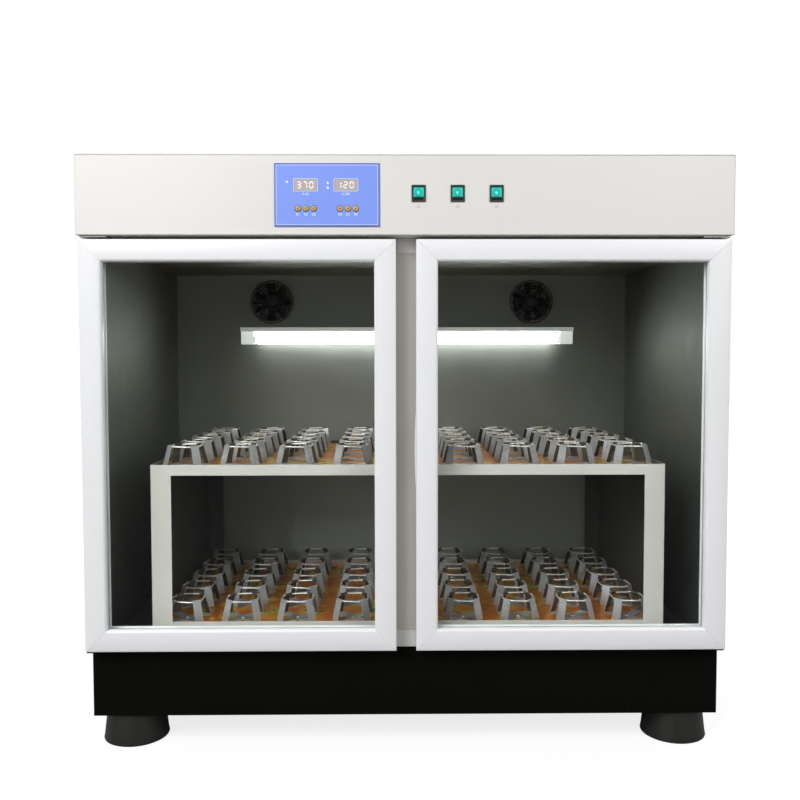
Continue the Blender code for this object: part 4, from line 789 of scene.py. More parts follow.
def guard_tree():
    """A round wire guard: rings at even steps, spokes across them and a hub cap."""
    tree, given = geometry_tree(
        "ring_guard",
        (
            ("Rings", "Int"),
            ("Inner Radius", "Float"),
            ("Outer Radius", "Float"),
            ("Bar Radius", "Float"),
            ("Hub Radius", "Float"),
            ("Centre", "Vector"),
            ("Finish", "Material"),
        ),
    )
    start = node(tree, "ShaderNodeCombineXYZ", X=given["Inner Radius"]).outputs[0]
    end = node(tree, "ShaderNodeCombineXYZ", X=given["Outer Radius"]).outputs[0]
    line = node(
        tree, "GeometryNodeMeshLine",
        mode="END_POINTS", Count=given["Rings"], Start_Location=start, Offset=end
    )
    place = tree.nodes.new("GeometryNodeInputPosition").outputs[0]
    kept = node(
        tree, "GeometryNodeStoreNamedAttribute",
        data_type="FLOAT", domain="POINT", Geometry=line.outputs["Mesh"], Name="reach",
        Value=node(tree, "ShaderNodeSeparateXYZ", Vector=place).outputs["X"]
    )
    zero = tree.nodes.new("ShaderNodeCombineXYZ").outputs[0]
    middle = node(tree, "GeometryNodeSetPosition", Geometry=kept.outputs["Geometry"], Position=zero)
    reach = node(tree, "GeometryNodeInputNamedAttribute", data_type="FLOAT", Name="reach")
    circle = node(tree, "GeometryNodeCurvePrimitiveCircle", Resolution=64, Radius=1.0)
    rings = node(
        tree, "GeometryNodeInstanceOnPoints", Points=middle.outputs["Geometry"],
        Instance=circle.outputs["Curve"], Scale=reach.outputs["Attribute"]
    )
    loops = node(tree, "GeometryNodeRealizeInstances", Geometry=rings.outputs["Instances"])
    joined = tree.nodes.new("GeometryNodeJoinGeometry")
    feed(tree, joined.inputs["Geometry"], round_bar(tree, loops.outputs["Geometry"], given["Bar Radius"], 8))
    far_end = vector_maths(tree, "SCALE", end, -1.0)
    spoke = node(tree, "GeometryNodeCurvePrimitiveLine", Start=far_end, End=end)
    bar = round_bar(tree, spoke.outputs["Curve"], given["Bar Radius"], 8, Fill_Caps=True)
    for degrees in (45.0, 135.0):
        turn = (0.0, 0.0, math.radians(degrees))
        crossed = node(tree, "GeometryNodeTransform", Geometry=bar, Rotation=turn)
        feed(tree, joined.inputs["Geometry"], crossed.outputs["Geometry"])
    thickness = maths(tree, "MULTIPLY", given["Bar Radius"], 2.2)
    hub = node(tree, "GeometryNodeMeshCylinder", Vertices=32, Radius=given["Hub Radius"], Depth=thickness)
    feed(tree, joined.inputs["Geometry"], hub.outputs["Mesh"])
    upright = node(
        tree, "GeometryNodeTransform", Geometry=joined.outputs["Geometry"], Translation=given["Centre"],
        Rotation=(math.radians(90.0), 0.0, 0.0)
    )
    node(tree, "NodeGroupOutput", Geometry=made_real(tree, upright.outputs["Geometry"], given["Finish"]))
    return tree


def screw_tree():
    """Screw heads on the points of a mesh, each turned at random about its axis."""
    tree, given = geometry_tree(
        "screw_heads", (("Head", "Object"), ("Spin Axis", "Vector"), ("Seed", "Int"), ("Finish", "Material"))
    )
    head = node(tree, "GeometryNodeObjectInfo", transform_space="ORIGINAL", Object=given["Head"])
    spin = node(tree, "FunctionNodeRandomValue", data_type="FLOAT", Seed=given["Seed"])
    spin.inputs[2].default_value = 0.0
    spin.inputs[3].default_value = math.pi
    about = vector_maths(tree, "SCALE", given["Spin Axis"], spin.outputs[1])
    copies = set_out(tree, given["Geometry"], head.outputs["Geometry"], about, given["Finish"])
    node(tree, "NodeGroupOutput", Geometry=copies)
    return tree


# Operators, one for each piece or group of like pieces


class INCUBATOR_OT_stage(bpy.types.Operator):
    """Floor, world, lights and camera"""

    bl_idname = "incubator.stage"
    bl_label = "Stage"

    FLOOR_HALF = 12.0
    LIGHT_PLACES = (
        ("key", (-2.1, -3.2, 2.8), (0.0, 0.0, 0.6), 2.6),
        ("fill", (2.4, -2.9, 2.3), (0.0, 0.0, 0.5), 2.0),
        ("top", (0.0, -0.6, 3.2), (0.0, 0.0, 0.5), 2.4),
        ("rear", (0.8, 3.2, 2.2), (0.0, 0.0, 0.6), 2.4),
    )

    def execute(self, context):
        """Build the studio."""
        lights = settings().lights
        self.make_floor()
        self.make_world(lights.world)
        for name, place, target, size in self.LIGHT_PLACES:
            self.add_light(name, place, target, size, getattr(lights, name))
        self.make_camera()
        context.scene.view_settings.view_transform = "Standard"
        return {"FINISHED"}

    def make_floor(self):
        """A wide pale floor that keeps the shadow under the feet."""
        bm = bmesh.new()
        bmesh.ops.create_grid(bm, x_segments=1, y_segments=1, size=self.FLOOR_HALF)
        mesh = plain_mesh("floor", bm)
        grey, white = solid((0.28, 0.28, 0.28)), solid((1.0, 1.0, 1.0))
        material, shader = new_material("floor_white", Base_Color=grey, Roughness=0.9, Emission_Color=white)
        tree = material.node_tree
        reach = vector_maths(tree, "LENGTH", object_place(tree))
        seen = tree.nodes.new("ShaderNodeLightPath").outputs["Is Camera Ray"]
        lift = maths(tree, "MULTIPLY", mapped(tree, reach, 0.5, 2.2, 0.80, 1.0), seen)
        feed(tree, shader.inputs["Emission Strength"], lift)
        mesh.materials.append(material)
        linked("floor", mesh)

    def make_world(self, level):
        """White where it is seen, softer where it lights, and dim at the front, which the glass mirrors."""
        world = bpy.data.worlds.new("studio")
        bpy.context.scene.world = world
        world.use_nodes = True
        tree = world.node_tree
        path = tree.nodes.new("ShaderNodeLightPath").outputs
        ray = tree.nodes.new("ShaderNodeTexCoord").outputs["Generated"]
        axis = node(tree, "ShaderNodeSeparateXYZ", Vector=ray).outputs
        front = mapped(tree, axis["Y"], -0.35, 0.35, 0.05, 1.0)
        soft = maths(tree, "MULTIPLY", front, level)
        bounced = maths(tree, "ADD", path["Diffuse Depth"], path["Glossy Depth"])
        direct = maths(tree, "LESS_THAN", bounced, 0.5)
        through = maths(tree, "MULTIPLY", path["Is Transmission Ray"], direct)
        seen = maths(tree, "MAXIMUM", path["Is Camera Ray"], through)
        polished = maths(tree, "GREATER_THAN", path["Glossy Depth"], 0.5)
        mirrored = blend(tree, "FLOAT", polished, soft, front)
        back = tree.nodes["Background"].inputs
        back["Color"].default_value = (1.0, 1.0, 1.0, 1.0)
        feed(tree, back["Strength"], blend(tree, "FLOAT", seen, mirrored, 1.0))

    def add_light(self, name, place, target, size, power):
        """A square soft light that faces a point."""
        data = bpy.data.lights.new(name, "AREA")
        data.size = size
        data.energy = power
        lamp = linked(name, data)
        lamp.location = place
        lamp.rotation_euler = (Vector(target) - Vector(place)).to_track_quat("-Z", "Y").to_euler()

    def make_camera(self):
        """A camera at the photograph's place."""
        view = settings().camera
        data = bpy.data.cameras.new("view")
        data.lens = view.focal
        data.sensor_width = 36.0
        data.sensor_fit = "HORIZONTAL"
        camera = linked("view", data)
        ahead = math.cos(view.pitch)
        forward = Vector((math.sin(view.yaw) * ahead, math.cos(view.yaw) * ahead, -math.sin(view.pitch)))
        level = forward.cross(Vector((0.0, 0.0, 1.0))).normalized()
        up = level.cross(forward)
        right = math.cos(-view.roll) * level + math.sin(-view.roll) * up
        over = right.cross(forward)
        turn = Matrix((right, over, -forward)).transposed().to_4x4()
        camera.matrix_world = Matrix.Translation(view.place) @ turn
        bpy.context.scene.camera = camera


class INCUBATOR_OT_cabinet(bpy.types.Operator):
    """Painted sheet metal of the cabinet, header and base"""

    bl_idname = "incubator.cabinet"
    bl_label = "Cabinet"

    def execute(self, context):
        """Soften and paint the sheet metal."""
        for name in ("header_shell", "top_cover", "front_frame"):
            dressed(name, "cabinet", "root", 0.0007)
        # The mullion gets the darker paint that holds its painted shade.
        dressed("centre_mullion", "mullion", "root", 0.0006)
        dressed("cabinet_casing", "cabinet", "root", 0.0008)
        dressed("chamber_liner", "liner", "root", 0.0012)
        dressed("base_housing", "base", "root", 0.0007)
        dressed("power_inlet", "plastic", "root", 0.0005)
        return {"FINISHED"}


class INCUBATOR_OT_feet(bpy.types.Operator):
    """Conical rubber feet"""

    bl_idname = "incubator.feet"
    bl_label = "Feet"

    TAPER = 0.007
    SHOULDER = 0.0035
    LIP = 0.0042
    SOLE = 0.010
    HOLLOW = 0.004

    def execute(self, context):
        """Turn each foot about its centre."""
        for row in ("front", "rear"):
            for side in SIDES:
                self.make_foot(f"foot_{row}_{side}")
        return {"FINISHED"}

    def make_foot(self, name):
        """A turned rubber cone with a rounded shoulder, a rolled lip and a ring-shaped sole."""
        low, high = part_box(name)
        centre = (low + high) / 2
        rim = (high.x - low.x) / 2
        top = rim - self.TAPER
        profile = [(0.0, high.z)]
        for step in range(4):
            turn = math.radians(30.0 * step)
            profile.append(
                (top - self.SHOULDER * (1 - math.sin(turn)), high.z - self.SHOULDER * (1 - math.cos(turn)))
            )
        profile += [
            (rim - 0.0014, 0.010),
            (rim - 0.0004, self.LIP + 0.0010),
            (rim, self.LIP - 0.0010),
            (rim - 0.0008, 0.0012),
            (rim - 0.0030, 0.0),
            (rim - 0.0030 - self.SOLE, 0.0),
            (rim - 0.0050 - self.SOLE, self.HOLLOW),
            (0.0, self.HOLLOW),
        ]
        mesh = softened(f"{name}_rubber", turned(profile, centre, 72), ("rubber",), smooth=50.0)
        publish(f"{name}_rubber", mesh, "root", (name,))


class INCUBATOR_OT_doors(bpy.types.Operator):
    """Door frames with mitred corners, double glazing, seals and the edge pull"""

    bl_idname = "incubator.doors"
    bl_label = "Doors"

    RAIL = 0.040
    FRONT_ROUND = 0.0016
    INNER_BEVEL = 0.0030
    PANE = 0.004
    PANE_GAP = 0.0003
    MITRE_GAP = 0.00018
    SPACER_GAP = 0.0002
    SPACER_EDGE = 0.001
    SPACER_COVER = 0.0012

    def execute(self, context):
        """Make both doors."""
        for side in SIDES:
            self.make_frame(side)
            self.make_glazing(side)
            dressed(f"{side}_door_gasket", "seal", f"{side}_door", 0.0015)
            dressed(f"hinge_plate_{side}_top", "steel", "root", 0.0003)
            dressed(f"hinge_plate_{side}_bottom", "base", "root", 0.0003)
        dressed("right_door_pull", "doors", "right_door", 0.0004)
        return {"FINISHED"}

    def make_frame(self, side):
        """Four lacquered sections that meet in fine mitre seams."""
        name = f"{side}_door_frame"
        low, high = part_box(name)
        glass_low, glass_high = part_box(f"{side}_door_glass")
        thick = high.y - low.y
        groove = glass_low.x - low.x - self.PANE_GAP
        front = glass_low.y - low.y - self.PANE_GAP
        rear = glass_high.y - low.y + self.PANE_GAP
        edge = self.FRONT_ROUND
        profile = [(0.0, thick), (0.0, edge)]
        for step in range(1, 4):
            turn = math.radians(30.0 * step)
            profile.append((edge * (1 - math.cos(turn)), edge * (1 - math.sin(turn))))
        profile += [
            (self.RAIL - self.INNER_BEVEL - 0.0008, 0.0),
            (self.RAIL - self.INNER_BEVEL, 0.0004),
            (self.RAIL - 0.0004, self.INNER_BEVEL - 0.0004),
            (self.RAIL, self.INNER_BEVEL + 0.0004),
            (self.RAIL, front),
            (groove, front),
            (groove, rear),
            (self.RAIL, rear),
            (self.RAIL, thick - 0.001),
            (self.RAIL - 0.001, thick),
        ]
        bm = bmesh.new()
        gap = self.MITRE_GAP
        spans = (
            ((low.x, low.z), (1, 0), (0, 1), high.x - low.x),
            ((high.x, low.z), (0, 1), (-1, 0), high.z - low.z),
            ((high.x, high.z), (-1, 0), (0, -1), high.x - low.x),
            ((low.x, high.z), (0, -1), (1, 0), high.z - low.z),
        )
        for (x, z), along, inward, length in spans:
            ends = []
            for at_end in (False, True):
                ring = []
                for inset, setback in profile:
                    run = length - inset - gap if at_end else inset + gap
                    across = x + along[0] * run + inward[0] * inset
                    up = z + along[1] * run + inward[1] * inset
                    ring.append((across, low.y + setback, up))
                ends.append(ring)
            add_loft(bm, ends, closed=False)
        mesh = softened(f"{name}_sections", outward(bm), ("doors",), smooth=40.0)
        publish(f"{name}_sections", mesh, f"{side}_door", (name,))

    def make_glazing(self, side):
        """Two panes with an aluminium spacer between them, hidden behind the rails' lips."""
        name = f"{side}_door_glass"
        low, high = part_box(name)
        bm = bmesh.new()
        for y in (low.y, high.y - self.PANE):
            add_box(bm, (low.x, y, low.z), (high.x, y + self.PANE, high.z))
        mesh = softened(f"{side}_door_panes", bm, ("glass",))
        publish(f"{side}_door_panes", mesh, f"{side}_door", (name,))
        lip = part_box(f"{side}_door_frame")[0].x + self.RAIL - low.x
        front = low.y + self.PANE + self.SPACER_GAP
        rear = high.y - self.PANE - self.SPACER_GAP
        spacer = bmesh.new()
        add_frame(spacer, low, high, front, rear, self.SPACER_EDGE, lip - self.SPACER_COVER)
        mesh = softened(f"{side}_door_spacer", outward(spacer), ("cast",))
        publish(f"{side}_door_spacer", mesh, f"{side}_door", ())


class INCUBATOR_OT_controls(bpy.types.Operator):
    """Blue panel with displays and buttons, and the lit rocker switches"""

    bl_idname = "incubator.controls"
    bl_label = "Controls"

    SEGMENTS = ("abcdef", "bc", "abged", "abgcd", "fgbc", "afgcd", "afgedc", "abc", "abcdefg", "abcdfg")
    DISPLAYS = ((0.0565, "370", "0-60"), (0.1295, "120", "0-300"))
    DISPLAY_RISE = 0.0745
    WINDOW = (0.0420, 0.0208)
    GLASS_GAP = 0.0004
    GLASS_SETBACK = 0.0015
    FILM = 0.0001
    DIGIT_WIDTH = 0.0078
    DIGIT_HEIGHT = 0.0122
    DIGIT_BAR = 0.0017
    DIGIT_PITCH = 0.0112
    FIRST_DIGIT = 0.0158

    EDGE_LINES = (
        ("panel_rim_line", "edge_print", 0.0003, 0.0014),
        ("panel_pale_line", "pale_print", 0.0030, 0.0013),
    )
    WINDOW_GAP = 0.0010
    WINDOW_LINE = 0.0009
    DOTS = ((0.0230, 0.0800), (0.0966, 0.0783), (0.0966, 0.0693))
    DOT_RADIUS = 0.0022
    SMALL_NUMBER = 0.0046
    BUTTON_NUMBER = 0.0052
    RANGE_DROP = 0.0163
    BUTTON_DROP = 0.0104
    SWITCH_DROP = 0.0088

    BUTTONS = range(1, 7)
    RING_GAP = 0.0002
    RING_WIDTH = 0.0011
    CAP = ((0.0, 0.0002), (0.42, 0.0003), (0.50, 0.0), (0.78, 0.0004), (0.92, 0.0010), (1.0, 0.0020))
    HEART = 0.47

    def execute(self, context):
        """Finish the panel, its displays and buttons, and the switches."""
        dressed("control_panel", "panel", "root", 0.0004)
        repaint("control_board", "board")
        self.print_panel()
        self.make_displays()
        for number in self.BUTTONS:
            self.make_button(number)
        for word in SWITCHES:
            dressed(f"switch_bezel_{word}", "bezel", "root", 0.0004)
            self.make_rocker(word)
        self.number_switches()
        return {"FINISHED"}

    def publish_print(self, name, bm, material):
        """A printed layer on the panel."""
        publish(name, softened(name, outward(bm), (material,)), "root", ())

    def frame_print(self, bm, low, high, inset, width):
        """A thin printed rectangle on the panel."""
        front = PANEL_LOW.y - PRINT
        add_frame(bm, low, high, front, front + PRINT, inset, inset + width)

    def print_panel(self):
        """Lines round the panel and its windows, dots beside them, and numbers under windows and buttons."""
        front, back = PANEL_LOW.y - PRINT, PANEL_LOW.y
        for name, material, inset, width in self.EDGE_LINES:
            line = bmesh.new()
            self.frame_print(line, PANEL_LOW, PANEL_HIGH, inset, width)
            self.publish_print(name, line, material)
        white = bmesh.new()
        wide, tall = (size / 2 + self.WINDOW_GAP for size in self.WINDOW)
        corner = Vector((wide, 0.0, tall))
        for offset, _, label in self.DISPLAYS:
            centre = Vector((PANEL_LOW.x + offset, back, PANEL_LOW.z + self.DISPLAY_RISE))
            self.frame_print(white, centre - corner, centre + corner, 0.0, self.WINDOW_LINE)
            add_words(white, label, (centre.x, back, centre.z - self.RANGE_DROP), self.SMALL_NUMBER)
        for across, up in self.DOTS:
            centre = Vector((PANEL_LOW.x + across, back, PANEL_LOW.z + up))
            profile = ((0.0, front), (self.DOT_RADIUS, front), (self.DOT_RADIUS, back), (0.0, back))
            turned(profile, centre, 20, "Y", white)
        # Dark rings round the buttons are painted shadow in the gap round each cap.
        rings = bmesh.new()
        for number in self.BUTTONS:
            low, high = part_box(f"button_{number}")
            centre = (low + high) / 2
            inner = (high.x - low.x) / 2 + self.RING_GAP
            outer = inner + self.RING_WIDTH
            profile = ((inner, back), (inner, front), (outer, front), (outer, back), (inner, back))
            turned(profile, centre, 32, "Y", rings)
            place = (centre.x, back, centre.z - self.BUTTON_DROP)
            add_words(white, f"{number:02}", place, self.BUTTON_NUMBER)
        self.publish_print("panel_white_print", white, "print")
        self.publish_print("button_rings", rings, "edge_print")

    def make_displays(self):
        """Two number displays behind clear windows."""
        glass_y = PANEL_HIGH.y - self.GLASS_SETBACK
        digit_y = glass_y - self.FILM
        windows = bmesh.new()
        digits = bmesh.new()
        wide, tall = (size / 2 - self.GLASS_GAP for size in self.WINDOW)
        z = PANEL_LOW.z + self.DISPLAY_RISE
        for offset, reading, _ in self.DISPLAYS:
            x = PANEL_LOW.x + offset
            add_box(windows, (x - wide, digit_y, z - tall), (x + wide, glass_y, z + tall))
            for place, sign in enumerate(reading):
                pen = x - self.FIRST_DIGIT + self.DIGIT_PITCH * place
                self.draw_digit(digits, int(sign), pen, z - self.DIGIT_HEIGHT / 2, digit_y)
        publish("display_windows", softened("display_windows", windows, ("window",)), "root", ())
        publish("display_digits", softened("display_digits", digits, ("digit",)), "root", ())

    def draw_digit(self, bm, value, x, z, y):
        """A seven-segment digit whose lower left corner is given."""
        width, height, bar = self.DIGIT_WIDTH, self.DIGIT_HEIGHT, self.DIGIT_BAR
        half = height / 2
        bars = {
            "a": ((bar, height - bar), (width - bar, height)),
            "b": ((width - bar, half + bar / 2), (width, height - bar)),
            "c": ((width - bar, bar), (width, half - bar / 2)),
            "d": ((bar, 0.0), (width - bar, bar)),
            "e": ((0.0, bar), (bar, half - bar / 2)),
            "f": ((0.0, half + bar / 2), (bar, height - bar)),
            "g": ((bar, half - bar / 2), (width - bar, half + bar / 2)),
        }
        for letter in self.SEGMENTS[value]:
            (x0, z0), (x1, z1) = bars[letter]
            add_box(bm, (x + x0, y - self.FILM, z + z0), (x + x1, y, z + z1))

    def make_button(self, number):
        """A domed gold cap with a darker middle, on a stem."""
        name = f"button_{number}"
        low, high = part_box(name)
        centre = (low + high) / 2
        radius = (high.x - low.x) / 2
        profile = [(radius * share, low.y + setback) for share, setback in self.CAP]
        profile += [(radius, high.y), (0.0, high.y)]
        cap = turned(profile, centre, 32, "Y")
        mesh = softened(f"{name}_cap", cap, ("button", "button_heart"), smooth=50.0)
        for face in mesh.polygons:
            reach = Vector((face.center.x - centre.x, face.center.z - centre.z)).length
            if reach < self.HEART * radius and face.center.y < centre.y:
                face.material_index = 1
        publish(f"{name}_cap", mesh, f"push_{number}", (name,))

    def number_switches(self):
        """Plain numbers printed under the switches."""
        words = bmesh.new()
        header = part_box("header_shell")[0].y
        for number, word in enumerate(SWITCHES, 1):
            low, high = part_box(f"switch_bezel_{word}")
            place = ((low.x + high.x) / 2, header, low.z - self.SWITCH_DROP)
            add_words(words, f"{number:02}", place, self.SMALL_NUMBER)
        mesh = softened("switch_numbers", outward(words), ("label_print",))
        publish("switch_numbers", mesh, "root", ())

    def make_rocker(self, word):
        """The CAD rocker with soft edges and a flat map across its face."""
        name = f"rocker_{word}"
        low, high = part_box(name)
        piece = dressed(name, "rocker", f"switch_{word}", 0.0006, 3)
        faces = piece.data.uv_layers.new(name="face")
        for loop in piece.data.loops:
            point = piece.data.vertices[loop.vertex_index].co
            share_x = (point.x - low.x) / (high.x - low.x)
            share_z = (point.z - low.z) / (high.z - low.z)
            faces.data[loop.index].uv = (share_x, share_z)


class INCUBATOR_OT_chamber(bpy.types.Operator):
    """Fan guards and lamp on the back wall of the chamber"""

    bl_idname = "incubator.chamber"
    bl_label = "Chamber fittings"

    GUARD_RINGS = 7
    GUARD_BAR = 0.0015
    FIRST_RING = 0.0125
    HUB = 0.0100
    BATTEN_HEIGHT = 0.0102
    CAP = 0.0045

    def execute(self, context):
        """Make the guards and the lamp."""
        tree = guard_tree()
        for side in SIDES:
            low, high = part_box(f"fan_guard_{side}")
            values = {
                "Rings": self.GUARD_RINGS,
                "Inner Radius": self.FIRST_RING,
                "Outer Radius": (high.x - low.x) / 2 - self.GUARD_BAR,
                "Bar Radius": self.GUARD_BAR,
                "Hub Radius": self.HUB,
                "Centre": tuple((low + high) / 2),
                "Finish": finish("plastic"),
            }
            mesh = grown(f"fan_guard_{side}_rings", bpy.data.meshes.new("start"), tree, values)
            mesh.shade_smooth()
            mesh.set_sharp_from_angle(angle=math.radians(50.0))
            publish(mesh.name, mesh, "root", (f"fan_guard_{side}",))
            repaint(f"fan_housing_{side}", "plastic")
            repaint(f"fan_impeller_{side}", "plastic")
        self.make_lamp()
        repaint("heater_element", "steel")
        return {"FINISHED"}

    def make_lamp(self):
        """A glowing tube with small metal caps between the batten's end holders; the batten and its holders
        carry a painted glow of the tube's light.
        """
        batten = dressed("lamp_batten", "batten", "root", 0.0012, 3).data
        batten.materials.append(finish("holder"))
        # Faces below the shelf, the end holders, get the holder's painted glow.
        for face in batten.polygons:
            if face.center.z < BATTEN_TOP - self.BATTEN_HEIGHT:
                face.material_index = 1
        radius = (LAMP_HIGH.z - LAMP_LOW.z) / 2
        middle = (LAMP_LOW + LAMP_HIGH) / 2
        start = LAMP_LOW.x + self.CAP
        end = LAMP_HIGH.x - self.CAP
        bm = bmesh.new()
        add_cylinder(bm, (start, middle.y, middle.z), end - start, radius, "X", 40)
        mesh = softened("lamp_tube_lit", bm, ("tube",), 0.0015)
        publish("lamp_tube_lit", mesh, "root", ("lamp_tube",))
        caps = bmesh.new()
        for x in (LAMP_LOW.x, end):
            add_cylinder(caps, (x, middle.y, middle.z), self.CAP, radius * 0.9, "X", 40)
        mesh = softened("lamp_tube_caps", caps, ("cast",), 0.0008)
        publish("lamp_tube_caps", mesh, "root", ())


class INCUBATOR_OT_platform(bpy.types.Operator):
    """The two-tier platform with its plated sheets and flask clamps"""

    bl_idname = "incubator.platform"
    bl_label = "Platform and clamps"

    FRONT_ZONE = 0.005
    FLOOR_ZONE = 0.10
    SHEET = 0.002
    SWAY = 5.0
    FIRST_SEED = 3
    FOOT_START = 0.004
    FOOT_HEIGHT = 0.0008
    HEEL_HEIGHT = 0.0040
    CURL_STEPS = 8
    CURL_TURN = 36.0
    NARROWED = 0.92
    SHADE_FACING = -0.3

    def execute(self, context):
        """Paint the platform and set out the clamps."""
        upper = dressed("platform_frame", "platform", "platform", 0.0007)
        self.paint_shade_inside(upper.data)
        dressed("lower_tray", "platform", "platform", 0.0007)
        arms = self.clamp_arms()
        tree = clamp_tree()
        for number, tier in enumerate(("upper", "lower")):
            self.make_tier(tier, number, arms, tree)
        return {"FINISHED"}

    def paint_shade_inside(self, mesh):
        """The faces that look into the lower tier get a near-black painted shade."""
        mesh.materials.append(finish("platform_inside"))
        low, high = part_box("platform_frame")
        middle = (low.x + high.x) / 2
        for face in mesh.polygons:
            sideways = abs(face.normal.x) > 0.7 and (face.center.x - middle) * face.normal.x < 0
            behind = face.normal.y < -0.7 and face.center.y > low.y + self.FRONT_ZONE
            under = face.normal.z < -0.7 and face.center.z > low.z + self.FLOOR_ZONE
            # Inner sides, the rear flange's front and the undersides get the painted shade.
            if sideways and face.center.y > low.y + self.FRONT_ZONE or behind or under:
                face.material_index = 1

    def make_tier(self, tier, number, arms, tree):
        """One plated sheet with its clamps."""
        values = settings().clamps
        low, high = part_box(f"{tier}_clamp_plate")
        top = low.z + self.SHEET
        sheet = bmesh.new()
        add_box(sheet, low, (high.x, high.y, top))
        mesh = softened(f"{tier}_plated_sheet", sheet, ("zinc",), 0.0004)
        publish(mesh.name, mesh, "platform", (f"{tier}_clamp_plate",))
        centre = ((low.x + high.x) / 2, (low.y + high.y) / 2, top)
        grown_mesh = grown(
            f"{tier}_flask_clamps",
            arms.copy(),
            tree,
            {
                "Columns": values.columns,
                "Rows": values.rows,
                "Pitch Across": values.pitch_x,
                "Pitch Deep": values.pitch_y,
                "Centre": centre,
                "Ring Radius": values.ring,
                "Ring Height": values.height,
                "Wire Radius": values.wire,
                "Sway": math.radians(self.SWAY),
                "Seed": self.FIRST_SEED + number,
                "Arm Finish": finish("spring"),
                "Wire Finish": finish("wire"),
            },
        )
        publish(grown_mesh.name, grown_mesh, "platform", ())

    def clamp_arms(self):
        """Four bent arms of one clamp on a cross-shaped foot, with tips curled round the ring wire."""
        values = settings().clamps
        heel = values.foot
        path = [
            (self.FOOT_START, self.FOOT_HEIGHT),
            (heel - 0.004, self.FOOT_HEIGHT),
            (heel - 0.0012, self.FOOT_HEIGHT + 0.0006),
            (heel, self.HEEL_HEIGHT),
        ]
        straight = len(path)
        curl = values.wire + values.sheet * 0.75
        tip = Vector((values.ring, values.height))
        lean = (Vector(path[-1]) - tip).normalized()
        side = Vector((lean.y, -lean.x))
        start = math.atan2(-side.y, -side.x) if side.x < 0 else math.atan2(side.y, side.x)
        for step in range(self.CURL_STEPS):
            turn = start + math.radians(self.CURL_TURN * step)
            path.append((tip.x + curl * math.cos(turn), tip.y + curl * math.sin(turn)))
        bm = bmesh.new()
        for quarter in range(4):
            spin = Matrix.Rotation(math.radians(45.0 + 90.0 * quarter), 3, "Z")
            rings = []
            for index, (reach, height) in enumerate(path):
                before = Vector(path[max(index - 1, 0)])
                after = Vector(path[min(index + 1, len(path) - 1)])
                along = (after - before).normalized()
                across = Vector((-along.y, along.x)) * values.sheet / 2
                half = values.arm / 2 * (1.0 if index < straight else self.NARROWED)
                ring = []
                for y, sign in ((-half, -1), (half, -1), (half, 1), (-half, 1)):
                    ring.append(spin @ Vector((reach + sign * across.x, y, height + sign * across.y)))
                rings.append(ring)
            add_loft(bm, rings, closed=False)
        add_cylinder(bm, (0.0, 0.0, 0.0004), 0.0030, 0.0048, "Z", 12, 0.0036)
        outward(bm)
        # Inward-facing faces above the foot are marked for the painted shade in the spring finish.
        inner = bm.faces.layers.float.new("inner")
        for face in bm.faces:
            middle = face.calc_center_median()
            facing = face.normal.dot(Vector((middle.x, middle.y, 0.0)).normalized())
            face[inner] = float(facing < self.SHADE_FACING and middle.z > values.sheet * 2)
        mesh = plain_mesh("clamp_arms", bm)
        mesh.shade_smooth()
        mesh.set_sharp_from_angle(angle=math.radians(48.0))
        return mesh


class INCUBATOR_OT_drive(bpy.types.Operator):
    """Finishes of the drive under the chamber"""

    bl_idname = "incubator.drive"
    bl_label = "Drive"

    def execute(self, context):
        """Give the drive pieces their metal and rubber."""
        for name in ("drive_deck", "drive_motor"):
            repaint(name, "cast")
        cranks = [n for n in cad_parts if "crank" in n]
        for name in cranks + ["motor_pulley"]:
            repaint(name, "steel")
        repaint("drive_belt", "seal")
        return {"FINISHED"}


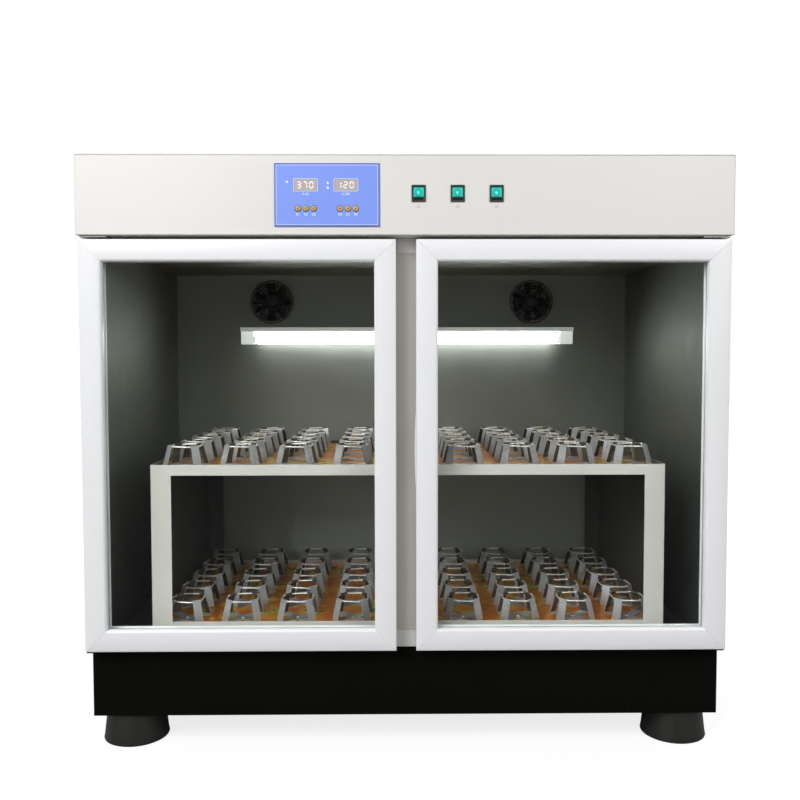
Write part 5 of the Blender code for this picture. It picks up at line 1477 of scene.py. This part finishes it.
class INCUBATOR_OT_screws(bpy.types.Operator):
    """Countersunk screws round the rear panel"""

    bl_idname = "incubator.screws"
    bl_label = "Screws"

    HEAD_RADIUS = 0.0042
    HEAD = ((0.76, -0.0011), (1.0, -0.0004), (0.95, -0.0001), (0.55, -0.0001), (0.30, -0.0001))
    HEAD_STEPS = 16
    CROSS = 0.30
    CROSS_HEART = 0.10
    CROSS_DEPTH = 0.0008
    SPACES_ACROSS = 6
    SPACES_UP = 5
    EDGE = 0.012
    SINK = 0.0012
    OVERCUT = 0.0002
    CUT_BOTTOM = 0.8
    CUT_TOP = 1.16

    def execute(self, context):
        """Set flat heads in countersinks round the rear panel."""
        low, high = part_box("rear_panel")
        left, right = low.x + self.EDGE, high.x - self.EDGE
        bottom, top = low.z + self.EDGE, high.z - self.EDGE
        points = []
        for i in range(self.SPACES_ACROSS + 1):
            x = left + (right - left) * i / self.SPACES_ACROSS
            points += [(x, high.y, bottom), (x, high.y, top)]
        for i in range(1, self.SPACES_UP):
            z = bottom + (top - bottom) * i / self.SPACES_UP
            points += [(left, high.y, z), (right, high.y, z)]
        self.set_screws(points)
        self.sink_screws(points)
        return {"FINISHED"}

    def head_point(self, step, share, height):
        """A point of the head at one of its steps round, at a share of its radius."""
        turn = 2 * math.pi * step / self.HEAD_STEPS
        reach = self.HEAD_RADIUS * share
        return (reach * math.cos(turn), reach * math.sin(turn), height)

    def make_head(self):
        """A flat countersunk head with a cross recess, turned to face the back."""
        steps = range(self.HEAD_STEPS)
        rows = [[self.head_point(i, share, height) for i in steps] for share, height in self.HEAD]
        shares = (self.CROSS_HEART if i % 4 else self.CROSS for i in steps)
        rows.append([self.head_point(i, share, -self.CROSS_DEPTH) for i, share in zip(steps, shares)])
        bm = bmesh.new()
        add_loft(bm, rows, closed=False)
        bmesh.ops.transform(bm, matrix=Matrix.Rotation(math.radians(-90.0), 4, "X"), verts=bm.verts)
        return linked("screw_head", plain_mesh("screw_head", bm))

    def sink_screws(self, points):
        """The rear panel with a countersink for each head."""
        cones = bmesh.new()
        depth = self.SINK + self.OVERCUT
        bottom, top = self.HEAD_RADIUS * self.CUT_BOTTOM, self.HEAD_RADIUS * self.CUT_TOP
        for x, y, z in points:
            add_cylinder(cones, (x, y - self.SINK, z), depth, bottom, "Y", 24, top)
        cutter = linked("countersinks", plain_mesh("countersinks", cones))
        panel = linked("rear_panel_blank", plain_mesh("rear_panel_blank", merged("rear_panel")))
        panel.modifiers.new("countersinks", "BOOLEAN").object = cutter
        drilled = bmesh.new()
        drilled.from_mesh(evaluated_mesh(panel, "rear_panel_drilled"))
        bpy.data.objects.remove(cutter)
        mesh = softened("rear_panel_finished", drilled, ("cabinet",))
        mesh.shade_flat()
        publish(mesh.name, mesh, "root", ("rear_panel",))

    def set_screws(self, points):
        """A head at each of the points."""
        head = self.make_head()
        start = bpy.data.meshes.new("rear_panel_screws")
        start.from_pydata(points, [], [])
        values = {"Head": head, "Spin Axis": (0.0, 1.0, 0.0), "Seed": 5, "Finish": finish("steel")}
        mesh = grown("rear_panel_screws", start, screw_tree(), values)
        publish("rear_panel_screws", mesh, "root", ())
        bpy.data.objects.remove(head)


class INCUBATOR_PT_looks(bpy.types.Panel):
    """The steps that dress the incubator"""

    bl_label = "Shaking Incubator"
    bl_idname = "INCUBATOR_PT_looks"
    bl_space_type = "VIEW_3D"
    bl_region_type = "UI"
    bl_category = "Incubator"

    def draw(self, context):
        """List the operators and the main values."""
        for step in STEPS:
            self.layout.operator(step.bl_idname)
        looks = context.scene.incubator_looks
        for group in (looks.camera, looks.lights, looks.clamps, looks.colours):
            box = self.layout.box()
            for name in group.__annotations__:
                box.prop(group, name)


class IncubatorLooks(bpy.types.PropertyGroup):
    """Every value that a user would change."""

    camera: PointerProperty(type=IncubatorCamera)
    lights: PointerProperty(type=IncubatorLights)
    clamps: PointerProperty(type=IncubatorClamps)
    colours: PointerProperty(type=IncubatorColours)


STEPS = (
    INCUBATOR_OT_stage,
    INCUBATOR_OT_cabinet,
    INCUBATOR_OT_feet,
    INCUBATOR_OT_doors,
    INCUBATOR_OT_controls,
    INCUBATOR_OT_chamber,
    INCUBATOR_OT_platform,
    INCUBATOR_OT_drive,
    INCUBATOR_OT_screws,
)
VALUE_GROUPS = (IncubatorCamera, IncubatorLights, IncubatorClamps, IncubatorColours, IncubatorLooks)
CLASSES = (*VALUE_GROUPS, INCUBATOR_PT_looks)


def register():
    """Register every class and the scene's values."""
    for item in CLASSES + STEPS:
        bpy.utils.register_class(item)
    bpy.types.Scene.incubator_looks = PointerProperty(type=IncubatorLooks)


def unregister():
    """Undo register."""
    del bpy.types.Scene.incubator_looks
    for item in reversed(CLASSES + STEPS):
        bpy.utils.unregister_class(item)


def main():
    """Build the looks in order."""
    register()
    for step in STEPS:
        group, name = step.bl_idname.split(".")
        getattr(getattr(bpy.ops, group), name)()


if __name__ == "__main__":
    main()
